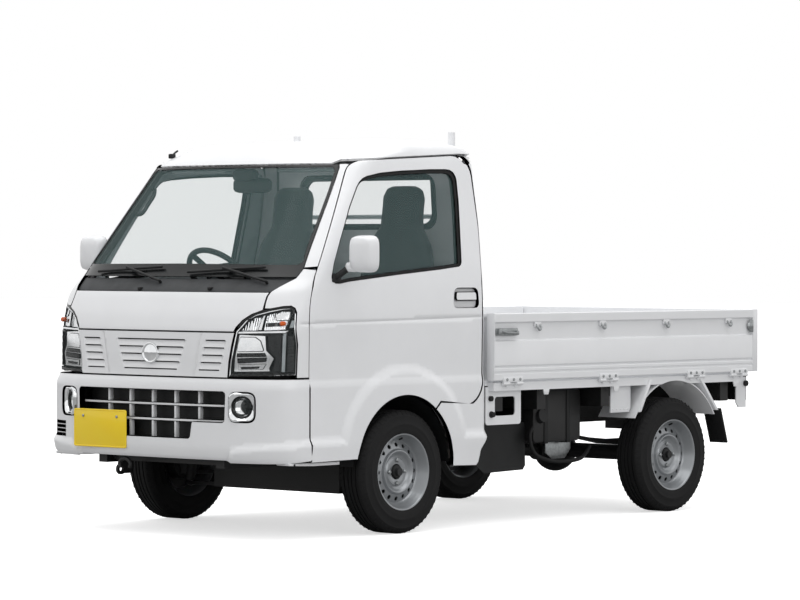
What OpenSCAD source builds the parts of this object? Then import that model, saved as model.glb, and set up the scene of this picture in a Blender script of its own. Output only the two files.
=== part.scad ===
// Kei-class pickup truck: a short cab over the front wheels, a flat load bed
// with three drop-down gates, and a ladder frame on four road wheels.
// Millimetres. +X is forward, +Y is the vehicle's left, +Z is up, and the
// ground is Z = 0. The origin is below the middle of the truck's length.

/* [Overall] */
// Length from the front plate to the tailgate's hinges
body_l = 3395; // [3300:5:3700]
// Width over the cab's widest line, without the mirrors
body_w = 1475; // [1400:5:1700]
// Height of the roof's crown above the ground
body_h = 1765; // [1700:5:2100]
// Distance from the front plate's face back to the front axle
front_overhang = 842; // [820:2:900]
// Distance between the axles
wheelbase = 1905; // [1850:5:2200]

/* [Wheels] */
// Outside radius of a tyre
tyre_r = 268; // [240:1:290]
// Width of a tyre
tyre_w = 147; // [125:1:160]
// Radius of the rim where the tyre sits
rim_r = 152; // [140:1:165]
// Distance between the middles of the front tyres
front_track = 1305; // [1240:5:1400]
// Distance between the middles of the rear tyres
rear_track = 1300; // [1240:5:1400]

/* [Cab] */
// Distance from the front axle back to the cab's rear wall
cab_rear = 552; // [540:2:620]
// Height of the cab's lowest edge
cab_bottom_z = 276; // [250:2:300]
// Height of the seam between the bumper and the panels above it
bumper_top_z = 687; // [670:1:710]
// Height of the hood's lower edge
hood_bottom_z = 879; // [860:1:900]
// Height of the seam between the hood and the cowl
cowl_bottom_z = 1050; // [1040:1:1070]
// Height of the windshield's lower edge
glass_bottom_z = 1109; // [1100:1:1130]
// Distance from the roof's crown down to the windshield's upper edge
roof_drop = 165; // [150:1:190]
// Thickness of a cab wall with its inner panel
cab_wall = 50; // [35:1:60]
// Thickness of the roof with its lining
roof_wall = 34; // [25:1:50]
// Thickness of a pane of glass
glass_t = 5; // [4:0.5:6]
// Clearance between a door and the opening it closes
door_gap = 6; // [5:0.5:8]
// Clearance between two fixed panels
seam = 0.5; // [0.4:0.1:0.8]

/* [Load bed] */
// Height of the load floor
floor_z = 650; // [600:5:700]
// Height of a gate above the load floor
gate_h = 297; // [250:1:330]
// Clear width of the load bed between the gates
bed_in_w = 1410; // [1340:5:1600]
// Thickness of a gate
gate_t = 30; // [25:1:40]
// Thickness of the load floor
floor_t = 25; // [18:1:35]
// Height of the guard frame's posts above the ground
guard_top_z = 1757; // [1500:1:1900]

/* [Frame] */
// Distance between the outer faces of the frame rails
rail_out_w = 770; // [700:5:800]
// Width of a frame rail
rail_w = 50; // [40:1:60]
// Height of a frame rail
rail_h = 90; // [70:1:110]
// Height of the rails' top face under the cab
rail_front_z = 390; // [380:1:400]
// Height of the rails' top face under the bed
rail_rear_z = 510; // [500:1:530]

/* [Hidden] */
$fn = 48;

// Everything is drawn with the front axle at X = 0 and then moved forward.
axle_x = body_l / 2 - front_overhang;
rear_x = front_overhang - body_l;
half_w = body_w / 2;
gate_top_z = floor_z + gate_h;
slide_gap = 0.3;
move_gap = 5;

// Cab surface. Each station is a level outline: height, foremost point, rearmost
// point, how far the side is in from the widest line, and the rear corner radius.
bumper_x = front_overhang - 4;
roof_z = body_h;
header_z = roof_z - roof_drop;
front_sweep = 240;
corner_r = 40;
upper_lean = 14;
stations = [
    [cab_bottom_z, bumper_x - 40, cab_rear, 15],
    [335, bumper_x - 26, cab_rear, 15],
    [352, bumper_x - 7, cab_rear, 6],
    [400, bumper_x, cab_rear, 0.5],
    [415, bumper_x - 1, cab_rear, 4],
    [650, bumper_x - 1, cab_rear, 5.5],
    [bumper_top_z - 3, bumper_x - 15, cab_rear, 13],
    [hood_bottom_z, bumper_x - 20, cab_rear, 11.5],
    [hood_bottom_z + 60, bumper_x - 33, cab_rear, 11.5],
    [1000, bumper_x - 58, cab_rear, 14],
    [cowl_bottom_z, bumper_x - 87, cab_rear, 18],
    [glass_bottom_z, bumper_x - 149, cab_rear, 23],
    [1380, bumper_x - 149 - 383 * (1380 - glass_bottom_z) / (header_z - glass_bottom_z),
     cab_rear + upper_lean, 23 + 74 * (1380 - glass_bottom_z) / (header_z - glass_bottom_z)],
    [header_z, bumper_x - 532, cab_rear + upper_lean, 97],
    [header_z + 40, bumper_x - 574, cab_rear + upper_lean, 106],
    [header_z + 70, bumper_x - 618, cab_rear + upper_lean - 3, 126],
    [header_z + 95, bumper_x - 662, cab_rear - 2, 165],
    [header_z + 118, bumper_x - 716, cab_rear - 20, 225],
    [header_z + 140, bumper_x - 798, cab_rear - 45, 320],
    [header_z + 156, bumper_x - 920, cab_rear - 90, 440],
    [roof_z, bumper_x - 1080, cab_rear - 200, 640]
];

// A level outline of the cab: a blunt curved nose, straight sides, rounded rear corners.
function power(base, exponent) = sign(base) * pow(abs(base), exponent);
function nose_sweep(front, rear) = min(front_sweep, 0.45 * (front + rear));
function cab_outline(front, rear, half, steps = 20) =
    let (d = nose_sweep(front, rear), r = min(corner_r, 0.6 * half))
    concat(
        [for (k = [0 : steps]) let (a = -90 + 180 * k / steps)
            [front - d + d * power(cos(a), 2 / 3), half * power(sin(a), 2 / 3)]],
        [for (k = [0 : 4]) let (a = 90 + 22.5 * k) [r - rear + r * cos(a), half - r + r * sin(a)]],
        [for (k = [0 : 4]) let (a = 180 + 22.5 * k) [r - rear + r * cos(a), r - half + r * sin(a)]]
    );

// The cab's whole volume, drawn in from the outer skin at the front, sides, rear and top:
// a stack of slabs, each between two neighbouring level outlines.
module cab_volume(front_in = 0, side_in = 0, rear_in = 0, top_in = 0) {
    rise = roof_z - header_z;
    function ring(s) = [for (p = cab_outline(s[1] - front_in, s[2] - rear_in, half_w - s[3] - side_in))
        [p[0], p[1], s[0] - top_in * max(0, s[0] - header_z) / rise]];
    for (i = [0 : len(stations) - 2]) {
        points = concat(ring(stations[i]), ring(stations[i + 1]));
        half = len(points) / 2;
        hull() polyhedron(points, [[for (k = [0 : half - 1]) k], [for (k = [1 : half]) 2 * half - k]]);
    }
}

// The shell between two depths under the skin.
module cab_shell(outer = 0, front_in = 40, side_in = cab_wall, rear_in = 40, top_in = roof_wall)
    difference() {
        cab_volume(outer, outer, outer, outer);
        cab_volume(front_in, side_in, rear_in, top_in);
        translate([0, 0, cab_bottom_z - 1]) linear_extrude(4)
            polygon(cab_outline(stations[0][1] - front_in, cab_rear - rear_in,
                                half_w - stations[0][3] - side_in));
    }

// The side walls alone, between two depths under the skin.
module side_wall(outer, inner)
    difference() {
        cab_volume(0, outer, 0, 0);
        cab_volume(-move_gap, inner, -move_gap, -1);
    }

// How far forward the skin is at a height and a distance out from the middle.
function front_at(z) = lookup(z, [for (s = stations) [s[0], s[1]]]);
function half_at(z) = half_w - lookup(z, [for (s = stations) [s[0], s[3]]]);
function skin_x(y, z) = front_at(z) - front_sweep
    + front_sweep * pow(max(0, 1 - pow(min(1, abs(y) / half_at(z)), 3)), 1 / 3);

// Rounds the corners of an outline whose points are [x, y, radius].
function unit(v) = v / norm(v);
function round_corner(p, c, n, r, steps) =
    let (a = unit(p - c), b = unit(n - c), half = acos(a * b) / 2, m = c + unit(a + b) * r / sin(half),
         s = c + a * r / tan(half) - m, e = c + b * r / tan(half) - m,
         from = atan2(s[1], s[0]), turn = (atan2(e[1], e[0]) - from + 540) % 360 - 180)
    [for (k = [0 : steps]) m + r * [cos(from + turn * k / steps), sin(from + turn * k / steps)]];
function xy(p) = [p[0], p[1]];
function rounded(points, steps = 6) =
    [for (i = [0 : len(points) - 1])
        let (n = len(points), c = points[i])
        each c[2] == 0 ? [xy(c)]
            : round_corner(xy(points[(i + n - 1) % n]), xy(c), xy(points[(i + 1) % n]), c[2], steps)];

module at_axle() translate([axle_x, 0, 0]) children();
module both_sides() {
    children();
    mirror([0, 1, 0]) children();
}
// A side-view outline (X, Z) stretched from y0 to y1.
module from_side(y0, y1) translate([0, y1, 0]) rotate([90, 0, 0]) linear_extrude(y1 - y0) children();
// A front-view outline (Y, Z) stretched from x0 to x1.
module from_front(x0, x1)
    translate([x0, 0, 0]) rotate([90, 0, 90]) linear_extrude(x1 - x0) children();
// A box between two corners.
module block(low, high) translate(low) cube(high - low);
// A rod along Y.
module rod_y(x, z, r, y0, y1) translate([x, y0, z]) rotate([-90, 0, 0]) cylinder(r = r, h = y1 - y0);

// Door outline in side view, before its clearance.
door_front_x = 597;
door_sill_z = 333;
door_heel_z = 566;
arch_r = tyre_r + 40;
arch_z = tyre_r + 22;
door_top_z = header_z + 14;
module door_outline()
    difference() {
        polygon(rounded([
            [door_front_x, door_sill_z, 0], [door_front_x, 1027, 350], [205, door_top_z, 110],
            [-cab_rear + 22, door_top_z + 40, 95], [-cab_rear + 8, 1330, 0], [-cab_rear + 32, 930, 0],
            [-cab_rear + 34, door_heel_z, 115], [0, door_heel_z, 0], [0, door_sill_z, 0]]));
        translate([0, arch_z]) circle(arch_r);
    }
module window_outline()
    polygon(rounded([
        [455, 1085, 12], [160, header_z - 53, 90], [-cab_rear + 130, header_z - 15, 60],
        [-cab_rear + 150, 1158, 35], [14, 1122, 0], [380, 1088, 0]]));
// What a side view's outline takes in of the cab's left side wall.
side_in_y = 540;
module left_side() from_side(side_in_y, half_w + 50) children();
// Rear quarter panel in side view: behind the door and down to the sill.
quarter_low_z = cab_bottom_z + 4;
module quarter_outline()
    difference() {
        polygon([[-150, quarter_low_z], [-150, header_z + 5 - seam / 2], [-700, header_z + 5 - seam / 2],
                 [-700, 431], [-cab_rear + 3, 431], [-cab_rear + 13, 400], [-cab_rear + 52, 348],
                 [-cab_rear + 68, quarter_low_z + 12], [-cab_rear + 82, quarter_low_z]]);
        offset(delta = door_gap / 2) door_outline();
        translate([0, arch_z]) circle(arch_r);
        translate([-300, 650]) square([400, 2000]);
    }

// Front-view outlines, drawn for the left half and mirrored.
module hood_outline()
    polygon([for (s = [1, -1]) each let (half = [[476, hood_bottom_z], [486, 900], [512, 930],
        [545, 953], [592, 972], [591, 1003], [590, 1030], [595, cowl_bottom_z]])
        s > 0 ? [for (p = half) p] : [for (i = [len(half) - 1 : -1 : 0]) [-half[i][0], half[i][1]]]]);
module lamp_outline()
    polygon(rounded([[447, bumper_top_z, 4], [466, 826, 0], [478, 888, 25], [540, 955, 60],
                     [640, 986, 0], [712, 988, 14], [800, 700, 0], [800, bumper_top_z + 3, 0]]));
lamp_rear_x = 664;
module windshield_outline()
    polygon([[-652, glass_bottom_z], [652, glass_bottom_z], [657, 1150], [567, header_z - 13],
             [555, header_z + 5 - seam], [-555, header_z + 5 - seam], [-567, header_z - 13], [-657, 1150]]);
module cowl_outline()
    polygon([[-602, cowl_bottom_z], [602, cowl_bottom_z], [652, glass_bottom_z], [-652, glass_bottom_z]]);
rear_glass_w = 860;
rear_glass_low = 1322;
rear_glass_high = header_z - 28;
module rear_glass_outline()
    polygon(rounded([[-rear_glass_w / 2, rear_glass_low, 55], [rear_glass_w / 2, rear_glass_low, 55],
                     [rear_glass_w / 2 - 18, rear_glass_high, 55],
                     [-rear_glass_w / 2 + 18, rear_glass_high, 55]]));

// Hinge between a door and its pillar: the axis stands in the gap near the skin.
door_hinge_x = door_front_x;
door_hinge_y = half_w - 5.5;
door_hinge_zs = [450, 620];
door_hinge_r = 6;
door_hinge_half = 30;
module door_hinge_fixed()
    for (z = door_hinge_zs) {
        for (low = [z - door_hinge_half, z + door_hinge_half - 18])
            translate([door_hinge_x, door_hinge_y, low]) cylinder(r = door_hinge_r, h = 18, $fn = 24);
        translate([door_hinge_x, door_hinge_y, z - door_hinge_half])
            cylinder(r = 3, h = 2 * door_hinge_half, $fn = 24);
        for (low = [z - door_hinge_half, z + door_hinge_half - 18])
            block([door_hinge_x + slide_gap, half_w - cab_wall - 12, low],
                  [door_hinge_x + door_gap / 2 - slide_gap, door_hinge_y, low + 18]);
    }
module door_hinge_moving()
    for (z = door_hinge_zs)
        difference() {
            union() {
                translate([door_hinge_x, door_hinge_y, z - 11.5])
                    cylinder(r = door_hinge_r, h = 23, $fn = 24);
                block([door_hinge_x - door_gap / 2 - 8, door_hinge_y - 22, z - 11.5],
                      [door_hinge_x - slide_gap, door_hinge_y, z + 11.5]);
            }
            translate([door_hinge_x, door_hinge_y, z - 20])
                cylinder(r = 3 + slide_gap, h = 40, $fn = 24);
        }
module door_hinge_pocket()
    for (z = door_hinge_zs)
        translate([door_hinge_x, door_hinge_y, z - door_hinge_half - 1])
            cylinder(r = door_hinge_r + 2, h = 2 * door_hinge_half + 2, $fn = 24);

// ---- Frame, engine and running gear -------------------------------------------------

rail_in_y = rail_out_w / 2 - rail_w;
rail_out_y = rail_out_w / 2;
rail_nose_x = bumper_x - 80;
rail_tail_x = rear_x + 33;
rear_axle_x = -wheelbase;
crossmember_xs = [[690, rail_front_z], [-860, rail_rear_z], [-1400, rail_rear_z],
                  [-2380, rail_rear_z], [rail_tail_x + 30, rail_rear_z]];
tow_r = 11;
tow_t = 12;
tow_front = [rail_nose_x - 25, -rail_in_y + 60, rail_front_z - rail_h - 28];
tow_rear = [rail_tail_x + 25, rail_in_y - 60, rail_rear_z - rail_h - 28];
module frame() at_axle() color("dimgray") {
    kick = rail_rear_z - rail_front_z;
    both_sides() from_side(rail_in_y, rail_out_y)
        polygon([[rail_nose_x, rail_front_z], [-420, rail_front_z], [-420 - 1.8 * kick, rail_rear_z],
                 [rail_tail_x, rail_rear_z], [rail_tail_x, rail_rear_z - rail_h],
                 [-480 - 1.8 * kick, rail_rear_z - rail_h], [-480, rail_front_z - rail_h],
                 [rail_nose_x, rail_front_z - rail_h]]);
    for (c = crossmember_xs)
        block([c[0] - 30, -rail_in_y, c[1] - rail_h + 10], [c[0] + 30, rail_in_y, c[1] - 10]);
    // Towing eyes under the ends of the frame, each on its own plate.
    difference() {
        union() {
            translate(tow_front) rod_y(0, 0, 24, -tow_t / 2, tow_t / 2);
            block([690 - 30, tow_front[1] - tow_t / 2, tow_front[2] - 20],
                  [tow_front[0], tow_front[1] + tow_t / 2, rail_front_z - rail_h + 10]);
        }
        translate(tow_front) rod_y(0, 0, tow_r, -tow_t, tow_t);
    }
    difference() {
        union() {
            translate(tow_rear) rod_y(0, 0, 24, -tow_t / 2, tow_t / 2);
            block([tow_rear[0] - 20, tow_rear[1] - tow_t / 2, tow_rear[2]],
                  [rail_tail_x + 70, tow_rear[1] + tow_t / 2, rail_rear_z - rail_h + 10]);
        }
        translate(tow_rear) rod_y(0, 0, tow_r, -tow_t, tow_t);
    }
}

// The steering axis leans inwards from the lower ball joint to the strut's top.
ball_y = front_track / 2 - 62;
ball_z = tyre_r - 98;
strut_top_y = ball_y - 110;
strut_top_z = ball_z + 550;
kingpin_tilt = atan((ball_y - strut_top_y) / (strut_top_z - ball_z));
kingpin_l = norm([ball_y - strut_top_y, strut_top_z - ball_z]);
module on_kingpin() translate([0, ball_y, ball_z]) rotate([kingpin_tilt, 0, 0]) children();
deck_z = 670;
strut_tube_l = 395;
spring_r = 46;
module front_suspension() at_axle() color("black") {
    member_top = rail_front_z - rail_h;
    block([-45, -rail_out_y, ball_z - 10], [45, rail_out_y, member_top]);
    both_sides() {
        // Lower arm with its ball joint's seat
        block([-24, rail_out_y, ball_z - 8], [24, ball_y - 15, ball_z + 6]);
        on_kingpin() translate([0, 0, -14]) cylinder(r = 18, h = 18);
        on_kingpin() cylinder(r = 9, h = 12 - slide_gap);
        // Damper rod, the sleeve that the coil spring fills, and the top mount
        on_kingpin() translate([0, 0, strut_tube_l - 40]) cylinder(r = 9, h = 100);
        difference() {
            on_kingpin() {
                translate([0, 0, strut_tube_l + 6]) cylinder(r = spring_r, h = 6);
                translate([0, 0, strut_tube_l + 10]) cylinder(r = spring_r - 6, h = 130);
                translate([0, 0, kingpin_l - 75]) cylinder(r = spring_r + 6, h = 60);
            }
            translate([-200, 0, deck_z]) cube([400, 800, 300]);
        }
    }
    // Steering rack housing, carried on the crossmember
    difference() {
        union() {
            rod_y(rack_x, rack_z, rack_r + 12, -300, 300);
            for (y = [-200, 200]) block([rack_x, y - 15, ball_z - 10], [-40, y + 15, ball_z + 40]);
        }
        rod_y(rack_x, rack_z, rack_r + 1, -301, 301);
    }
}
rack_x = -140;
rack_z = ball_z + 10;
rack_r = 11;
rod_half = ball_y - 48;
module steering_rods() at_axle() color("dimgray") {
    rod_y(rack_x, rack_z, rack_r, -rod_half, rod_half);
    both_sides() translate([rack_x, rod_half, rack_z]) sphere(13);
}
// Steering knuckle: carries the strut's tube, the brake drum and the wheel's spindle.
hub_r = 17;
drum_r = 104;
disc_r = 86;
module knuckle() {
    wheel_y = front_track / 2;
    difference() {
        union() {
            on_kingpin() translate([0, 0, 12]) cylinder(r = 24, h = strut_tube_l - 12);
            hull() {
                on_kingpin() translate([-28, 0, 40]) cube([56, 20, 120]);
                translate([-45, wheel_y - 54, tyre_r - 60]) cube([90, 4, 120]);
            }
        }
        on_kingpin() translate([0, 0, strut_tube_l - 60]) cylinder(r = 9 + slide_gap, h = 100);
    }
    rod_y(0, tyre_r, disc_r, wheel_y - 50, wheel_y + 8);
    rod_y(0, tyre_r, hub_r, wheel_y, wheel_y + 52);
    // Steering arm, above the end of the rod
    translate([0, 0, rack_z + 24]) linear_extrude(16)
        polygon([[0, ball_y - 20], [0, ball_y + 14], [rack_x - 8, ball_y - 18], [rack_x - 8, ball_y - 40]]);
}
module knuckle_left() at_axle() color("black") knuckle();
module knuckle_right() at_axle() color("black") mirror([0, 1, 0]) knuckle();

// Wheels. The tyre's section is drawn as radius and distance from its middle.
module tyre_body()
    rotate([90, 0, 0]) rotate_extrude($fn = 96)
        polygon(rounded([[rim_r, -rim_w / 2, 0], [rim_r + 16, -rim_w / 2, 0],
                         [rim_r + 24, -tyre_w * 0.43, 8], [tyre_r - 58, -tyre_w * 0.505, 30],
                         [tyre_r - 7, -tyre_w * 0.42, 14], [tyre_r, -tyre_w * 0.16, 0],
                         [tyre_r, tyre_w * 0.16, 0], [tyre_r - 7, tyre_w * 0.42, 14],
                         [tyre_r - 58, tyre_w * 0.505, 30], [rim_r + 24, tyre_w * 0.43, 8],
                         [rim_r + 16, rim_w / 2, 0], [rim_r, rim_w / 2, 0]]));
rim_w = tyre_w * 0.72;
flange_t = 4;
vent_count = 16;
module rim_body() {
    difference() {
        rotate([-90, 0, 0]) {
            rotate_extrude($fn = 96) {
                // Barrel with its two flanges
                polygon([[rim_r - 4, -rim_w / 2], [rim_r, -rim_w / 2], [rim_r, rim_w / 2],
                         [rim_r - 4, rim_w / 2], [rim_r - 4, 32], [rim_r - 16, 26], [rim_r - 16, -4],
                         [rim_r - 4, -12]]);
                // Disc, dished outwards round the nuts and in at the hub
                polygon([[hub_r + slide_gap, 18], [88, 18], [102, 34], [rim_r - 16, 8],
                         [rim_r - 16, 14], [100, 42], [84, 26], [hub_r + slide_gap, 26]]);
            }
        }
        for (k = [0 : vent_count - 1])
            rotate([0, 360 * k / vent_count, 0]) translate([122, 0, 0]) rotate([-90, 0, 0])
                cylinder(r = 7, h = 60);
    }
    for (y = [-rim_w / 2 - flange_t, rim_w / 2]) rotate([-90, 0, 0]) rotate_extrude($fn = 96)
        translate([rim_r - 4, y]) square([18, flange_t]);
}
module place_wheel(x, track, side)
    at_axle() translate([x, side * track / 2, tyre_r]) mirror([0, side > 0 ? 0 : 1, 0]) children();
module tyre_front_left() color("black") place_wheel(0, front_track, 1) tyre_body();
module tyre_front_right() color("black") place_wheel(0, front_track, -1) tyre_body();
module tyre_rear_left() color("black") place_wheel(rear_axle_x, rear_track, 1) tyre_body();
module tyre_rear_right() color("black") place_wheel(rear_axle_x, rear_track, -1) tyre_body();
module rim_front_left() color("silver") place_wheel(0, front_track, 1) rim_body();
module rim_front_right() color("silver") place_wheel(0, front_track, -1) rim_body();
module rim_rear_left() color("silver") place_wheel(rear_axle_x, rear_track, 1) rim_body();
module rim_rear_right() color("silver") place_wheel(rear_axle_x, rear_track, -1) rim_body();

module rear_axle() at_axle() color("black") {
    translate([rear_axle_x, 0, 0]) {
        rod_y(0, tyre_r, 36, -rear_track / 2 + 58, rear_track / 2 - 58);
        sphere_r = 105;
        translate([0, 0, tyre_r]) sphere(sphere_r);
        translate([60, 0, tyre_r]) rotate([0, 90, 0]) cylinder(r = 45, h = 90);
        both_sides() {
            rod_y(0, tyre_r, drum_r, rear_track / 2 - 58, rear_track / 2 + 8);
            rod_y(0, tyre_r, hub_r, rear_track / 2, rear_track / 2 + 52);
        }
    }
}
spring_y = rail_out_y + 62;
spring_half = 470;
module leaf_springs() at_axle() color("black")
    both_sides() translate([rear_axle_x, 0, 0]) {
        seat = tyre_r + 36;
        from_side(spring_y - 30, spring_y + 30)
            polygon([[-spring_half, seat + 62], [-200, seat + 14], [0, seat], [200, seat + 14],
                     [spring_half, seat + 62], [spring_half, seat + 72], [330, seat + 50],
                     [150, seat + 34], [-150, seat + 34], [-330, seat + 50], [-spring_half, seat + 72]]);
        // Hangers from the rails' outer faces
        for (x = [-spring_half, spring_half])
            block([x - 25, rail_out_y, seat + 62], [x + 25, spring_y + 30, rail_rear_z - 30]);
    }

engine_x0 = -130;
engine_x1 = -560;
engine_side = rail_in_y - 60;
module engine() at_axle() color("dimgray") {
    block([engine_x1, -engine_side, 235], [engine_x0, engine_side, 560]);
    // Mounting arms to the rails
    both_sides() block([-330, engine_side, rail_front_z - 60], [-270, rail_in_y, rail_front_z - 10]);
}
module propeller_shaft() at_axle() color("black") {
    // Gearbox behind the engine, then the shaft to the rear axle's nose
    block([-880, -110, 250], [engine_x1, 110, 425]);
    start = [-880, 0, 345];
    stop = [rear_axle_x + 153, 0, tyre_r];
    run = stop - start;
    translate(start) rotate([0, -90 + atan2(run[2], -run[0]), 0]) cylinder(r = 30, h = norm(run));
}
module exhaust() at_axle() color("gray") {
    // Pipe along the right-hand rail, with the silencer ahead of the rear axle
    y = -rail_in_y + 70;
    translate([engine_x1 - 20, y, 300]) rotate([0, -90, 0]) cylinder(r = 22, h = 420);
    translate([-980, y, 300]) rotate([0, -90, 0]) cylinder(r = 70, h = 420);
    block([-1220, y - 20, 369], [-1180, y + 20, rail_rear_z - rail_h]);
    block([-1230, -rail_in_y, rail_rear_z - rail_h], [-1170, y + 20, rail_rear_z - rail_h + 8]);
}
tank_in_y = rail_out_y;
tank_out_y = 610;
module fuel_tank() at_axle() color("black")
    difference() {
        block([-1350, tank_in_y, 350], [-1015, tank_out_y, rail_rear_z + 85]);
        block([-1360, tank_in_y - 1, rail_rear_z], [-1000, tank_in_y + 60, rail_rear_z + 90]);
    }
module battery_box() at_axle() color("black") {
    block([-1290, -tank_out_y, 380], [-1040, -rail_out_y, rail_rear_z - 5]);
}
module side_shields() at_axle() color("black")
    both_sides() {
        // Splash shield behind the front wheel, hung on brackets from the rail
        from_side(560, 566)
            polygon([[-575, 446], [-1000, 446], [-1006, 250], [-990, 230], [-720, 224], [-600, 300]]);
        for (x = [-640, -930]) block([x - 15, rail_out_y, 432], [x + 15, 560, 446]);
    }

// ---- Cab ------------------------------------------------------------------------------

tread_z = rail_front_z + 30;
riser_x = 345;
deck_x0 = -cab_rear + 40 + slide_gap;
arch_in_r = tyre_r + 88;
arch_in_y = rail_out_y + 10;
cabin_y = half_w - cab_wall - 19;
module cab_floor() at_axle() color("gainsboro") {
    difference() {
        union() {
            // Tread plate for the feet, reaching under the front panels
            translate([0, 0, rail_front_z]) linear_extrude(tread_z - rail_front_z)
                polygon([[riser_x, -cabin_y], [riser_x, cabin_y], [560, cabin_y],
                         [690, 595], [740, 450], [rail_nose_x, 250], [rail_nose_x, -250],
                         [740, -450], [690, -595], [560, -cabin_y]]);
            // Riser in front of the seats, and the deck under them
            block([riser_x, -cabin_y, rail_front_z], [riser_x + 30, cabin_y, deck_z + 30]);
            block([deck_x0, -cabin_y, deck_z], [riser_x + 30, cabin_y, deck_z + 30]);
            // Inner cheeks of the wheelhouses, and their arched covers
            both_sides() {
                block([-arch_in_r - 8, arch_in_y, rail_front_z], [riser_x + 5, arch_in_y + 8, deck_z + 5]);
                difference() {
                    rod_y(0, tyre_r, arch_in_r + 8, arch_in_y, cabin_y);
                    rod_y(0, tyre_r, arch_in_r, arch_in_y + 8, cabin_y + 1);
                    block([-500, 0, -200], [500, 900, rail_front_z]);
                }
            }
        }
        // Room for the struts
        both_sides() translate([0, strut_top_y + 14, rail_front_z]) cylinder(r = spring_r + 22, h = deck_z - rail_front_z);
    }
}
// Inner panel that closes the cab behind the hood and the bumper.
module firewall() at_axle() color("gainsboro")
    intersection() {
        difference() {
            cab_volume(88, 74, 80, 80);
            cab_volume(94, 80, 86, 86);
        }
        block([door_front_x + 8, -half_w, tread_z], [900, half_w, cowl_bottom_z + 20]);
    }
module front_seams(g)
    from_front(100, 1000) offset(delta = g) children();
module lamp_blocks(g) intersection() {
    both_sides() front_seams(g) lamp_outline();
    block([lamp_rear_x - g, -half_w - 50, 0], [1000, half_w + 50, 2000]);
}
module pillar_outline()
    difference() {
        polygon([[150, bumper_top_z + seam / 2], [1000, bumper_top_z + seam / 2],
                 [1000, header_z + 5 - seam / 2], [150, header_z + 5 - seam / 2]]);
        offset(delta = door_gap / 2) door_outline();
    }
module front_pillars() at_axle() color("white")
    both_sides() {
        difference() {
            intersection() {
                cab_shell();
                left_side() pillar_outline();
            }
            lamp_blocks(seam);
            front_seams(move_gap) hood_outline();
            front_seams(seam) cowl_outline();
            front_seams(seam) windshield_outline();
            front_seams(seam) grille_outline();
        }
        // Hinge pillar behind the bumper's end
        block([door_front_x + slide_gap, cabin_y - 4, tread_z],
              [door_front_x + door_gap / 2 + 20, half_w - cab_wall - 5, bumper_top_z]);
        door_hinge_fixed();
    }
module grille_outline()
    polygon([[-447, bumper_top_z], [447, bumper_top_z], [466, 826], [476, hood_bottom_z],
             [-476, hood_bottom_z], [-466, 826]]);
module rear_quarters() at_axle() color("white")
    both_sides() intersection() {
        cab_shell();
        block([-1000, back_half + seam / 2, 0], [0, half_w + 50, 3000]);
        left_side() quarter_outline();
    }
// Half-width of the back panel between the rear quarters
back_half = 560;
module cab_back() at_axle() color("white")
    difference() {
        intersection() {
            cab_shell();
            block([-1000, -back_half, deck_z], [-cab_rear + 60, back_half, header_z + 5 - seam / 2]);
        }
        from_front(-1000, -cab_rear + 200) rear_glass_outline();
    }
module roof() at_axle() color("white")
    difference() {
        intersection() {
            cab_shell();
            block([-1000, -half_w, header_z + 5], [1000, half_w, 3000]);
        }
        from_side(-half_w, half_w) intersection() {
            offset(delta = door_gap / 2) door_outline();
            translate([-1000, header_z]) square(2000);
        }
    }
module windshield()
    intersection() {
        cab_shell(4, 4 + glass_t, 4 + glass_t, 4 + glass_t, 4 + glass_t);
        from_front(150, 1000) windshield_outline();
    }
module rear_window()
    intersection() {
        cab_shell(6, 6 + glass_t, 6 + glass_t, 6 + glass_t, 6 + glass_t);
        from_front(-1000, -cab_rear + 60) offset(delta = -slide_gap) rear_glass_outline();
    }
module cab_glass() at_axle() color([0.5, 0.6, 0.6, 0.4]) {
    windshield();
    rear_window();
}
hood_hinge_x = bumper_x - 127;
hood_hinge_z = cowl_bottom_z - 9;
hood_hinge_r = 5;
hood_t = 16;
module at_hood_hinges() for (y = [-400, 400]) translate([hood_hinge_x, y, hood_hinge_z]) children();
module cowl() at_axle() color("black") {
    intersection() {
        cab_shell(20, 34, 34, 34, 34);
        from_front(300, 1000) intersection() {
            offset(delta = -slide_gap / 2) cowl_outline();
            translate([-800, cowl_bottom_z + 3]) square([1600, 200]);
        }
    }
    // Fixed halves of the hood's hinges
    at_hood_hinges() {
        for (y = [-30, 14]) rod_y(0, 0, hood_hinge_r, y, y + 16);
        rod_y(0, 0, 2, -30, 30);
        for (y = [-30, 14]) block([-5, y, 0], [1, y + 16, 22]);
    }
}
module grille() at_axle() color("white")
    difference() {
        intersection() {
            cab_shell(0, 22, 22, 22, 22);
            from_front(400, 1000) intersection() {
                offset(delta = -seam / 2) grille_outline();
                translate([-600, bumper_top_z]) square([1200, hood_bottom_z - bumper_top_z - move_gap]);
            }
        }
        // Louvres: one middle group and one each side
        for (k = [0 : 3]) {
            z = 718 + 33 * k;
            block([600, -170 - 8 * k, z], [1000, 170 + 8 * k, z + 6]);
            both_sides() block([600, 300, z], [1000, 415 + 7 * k, z + 6]);
        }
    }
intake_z0 = 424;
intake_z1 = 627;
fog_y = 532;
fog_z = 565;
fog_r = 52;
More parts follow.
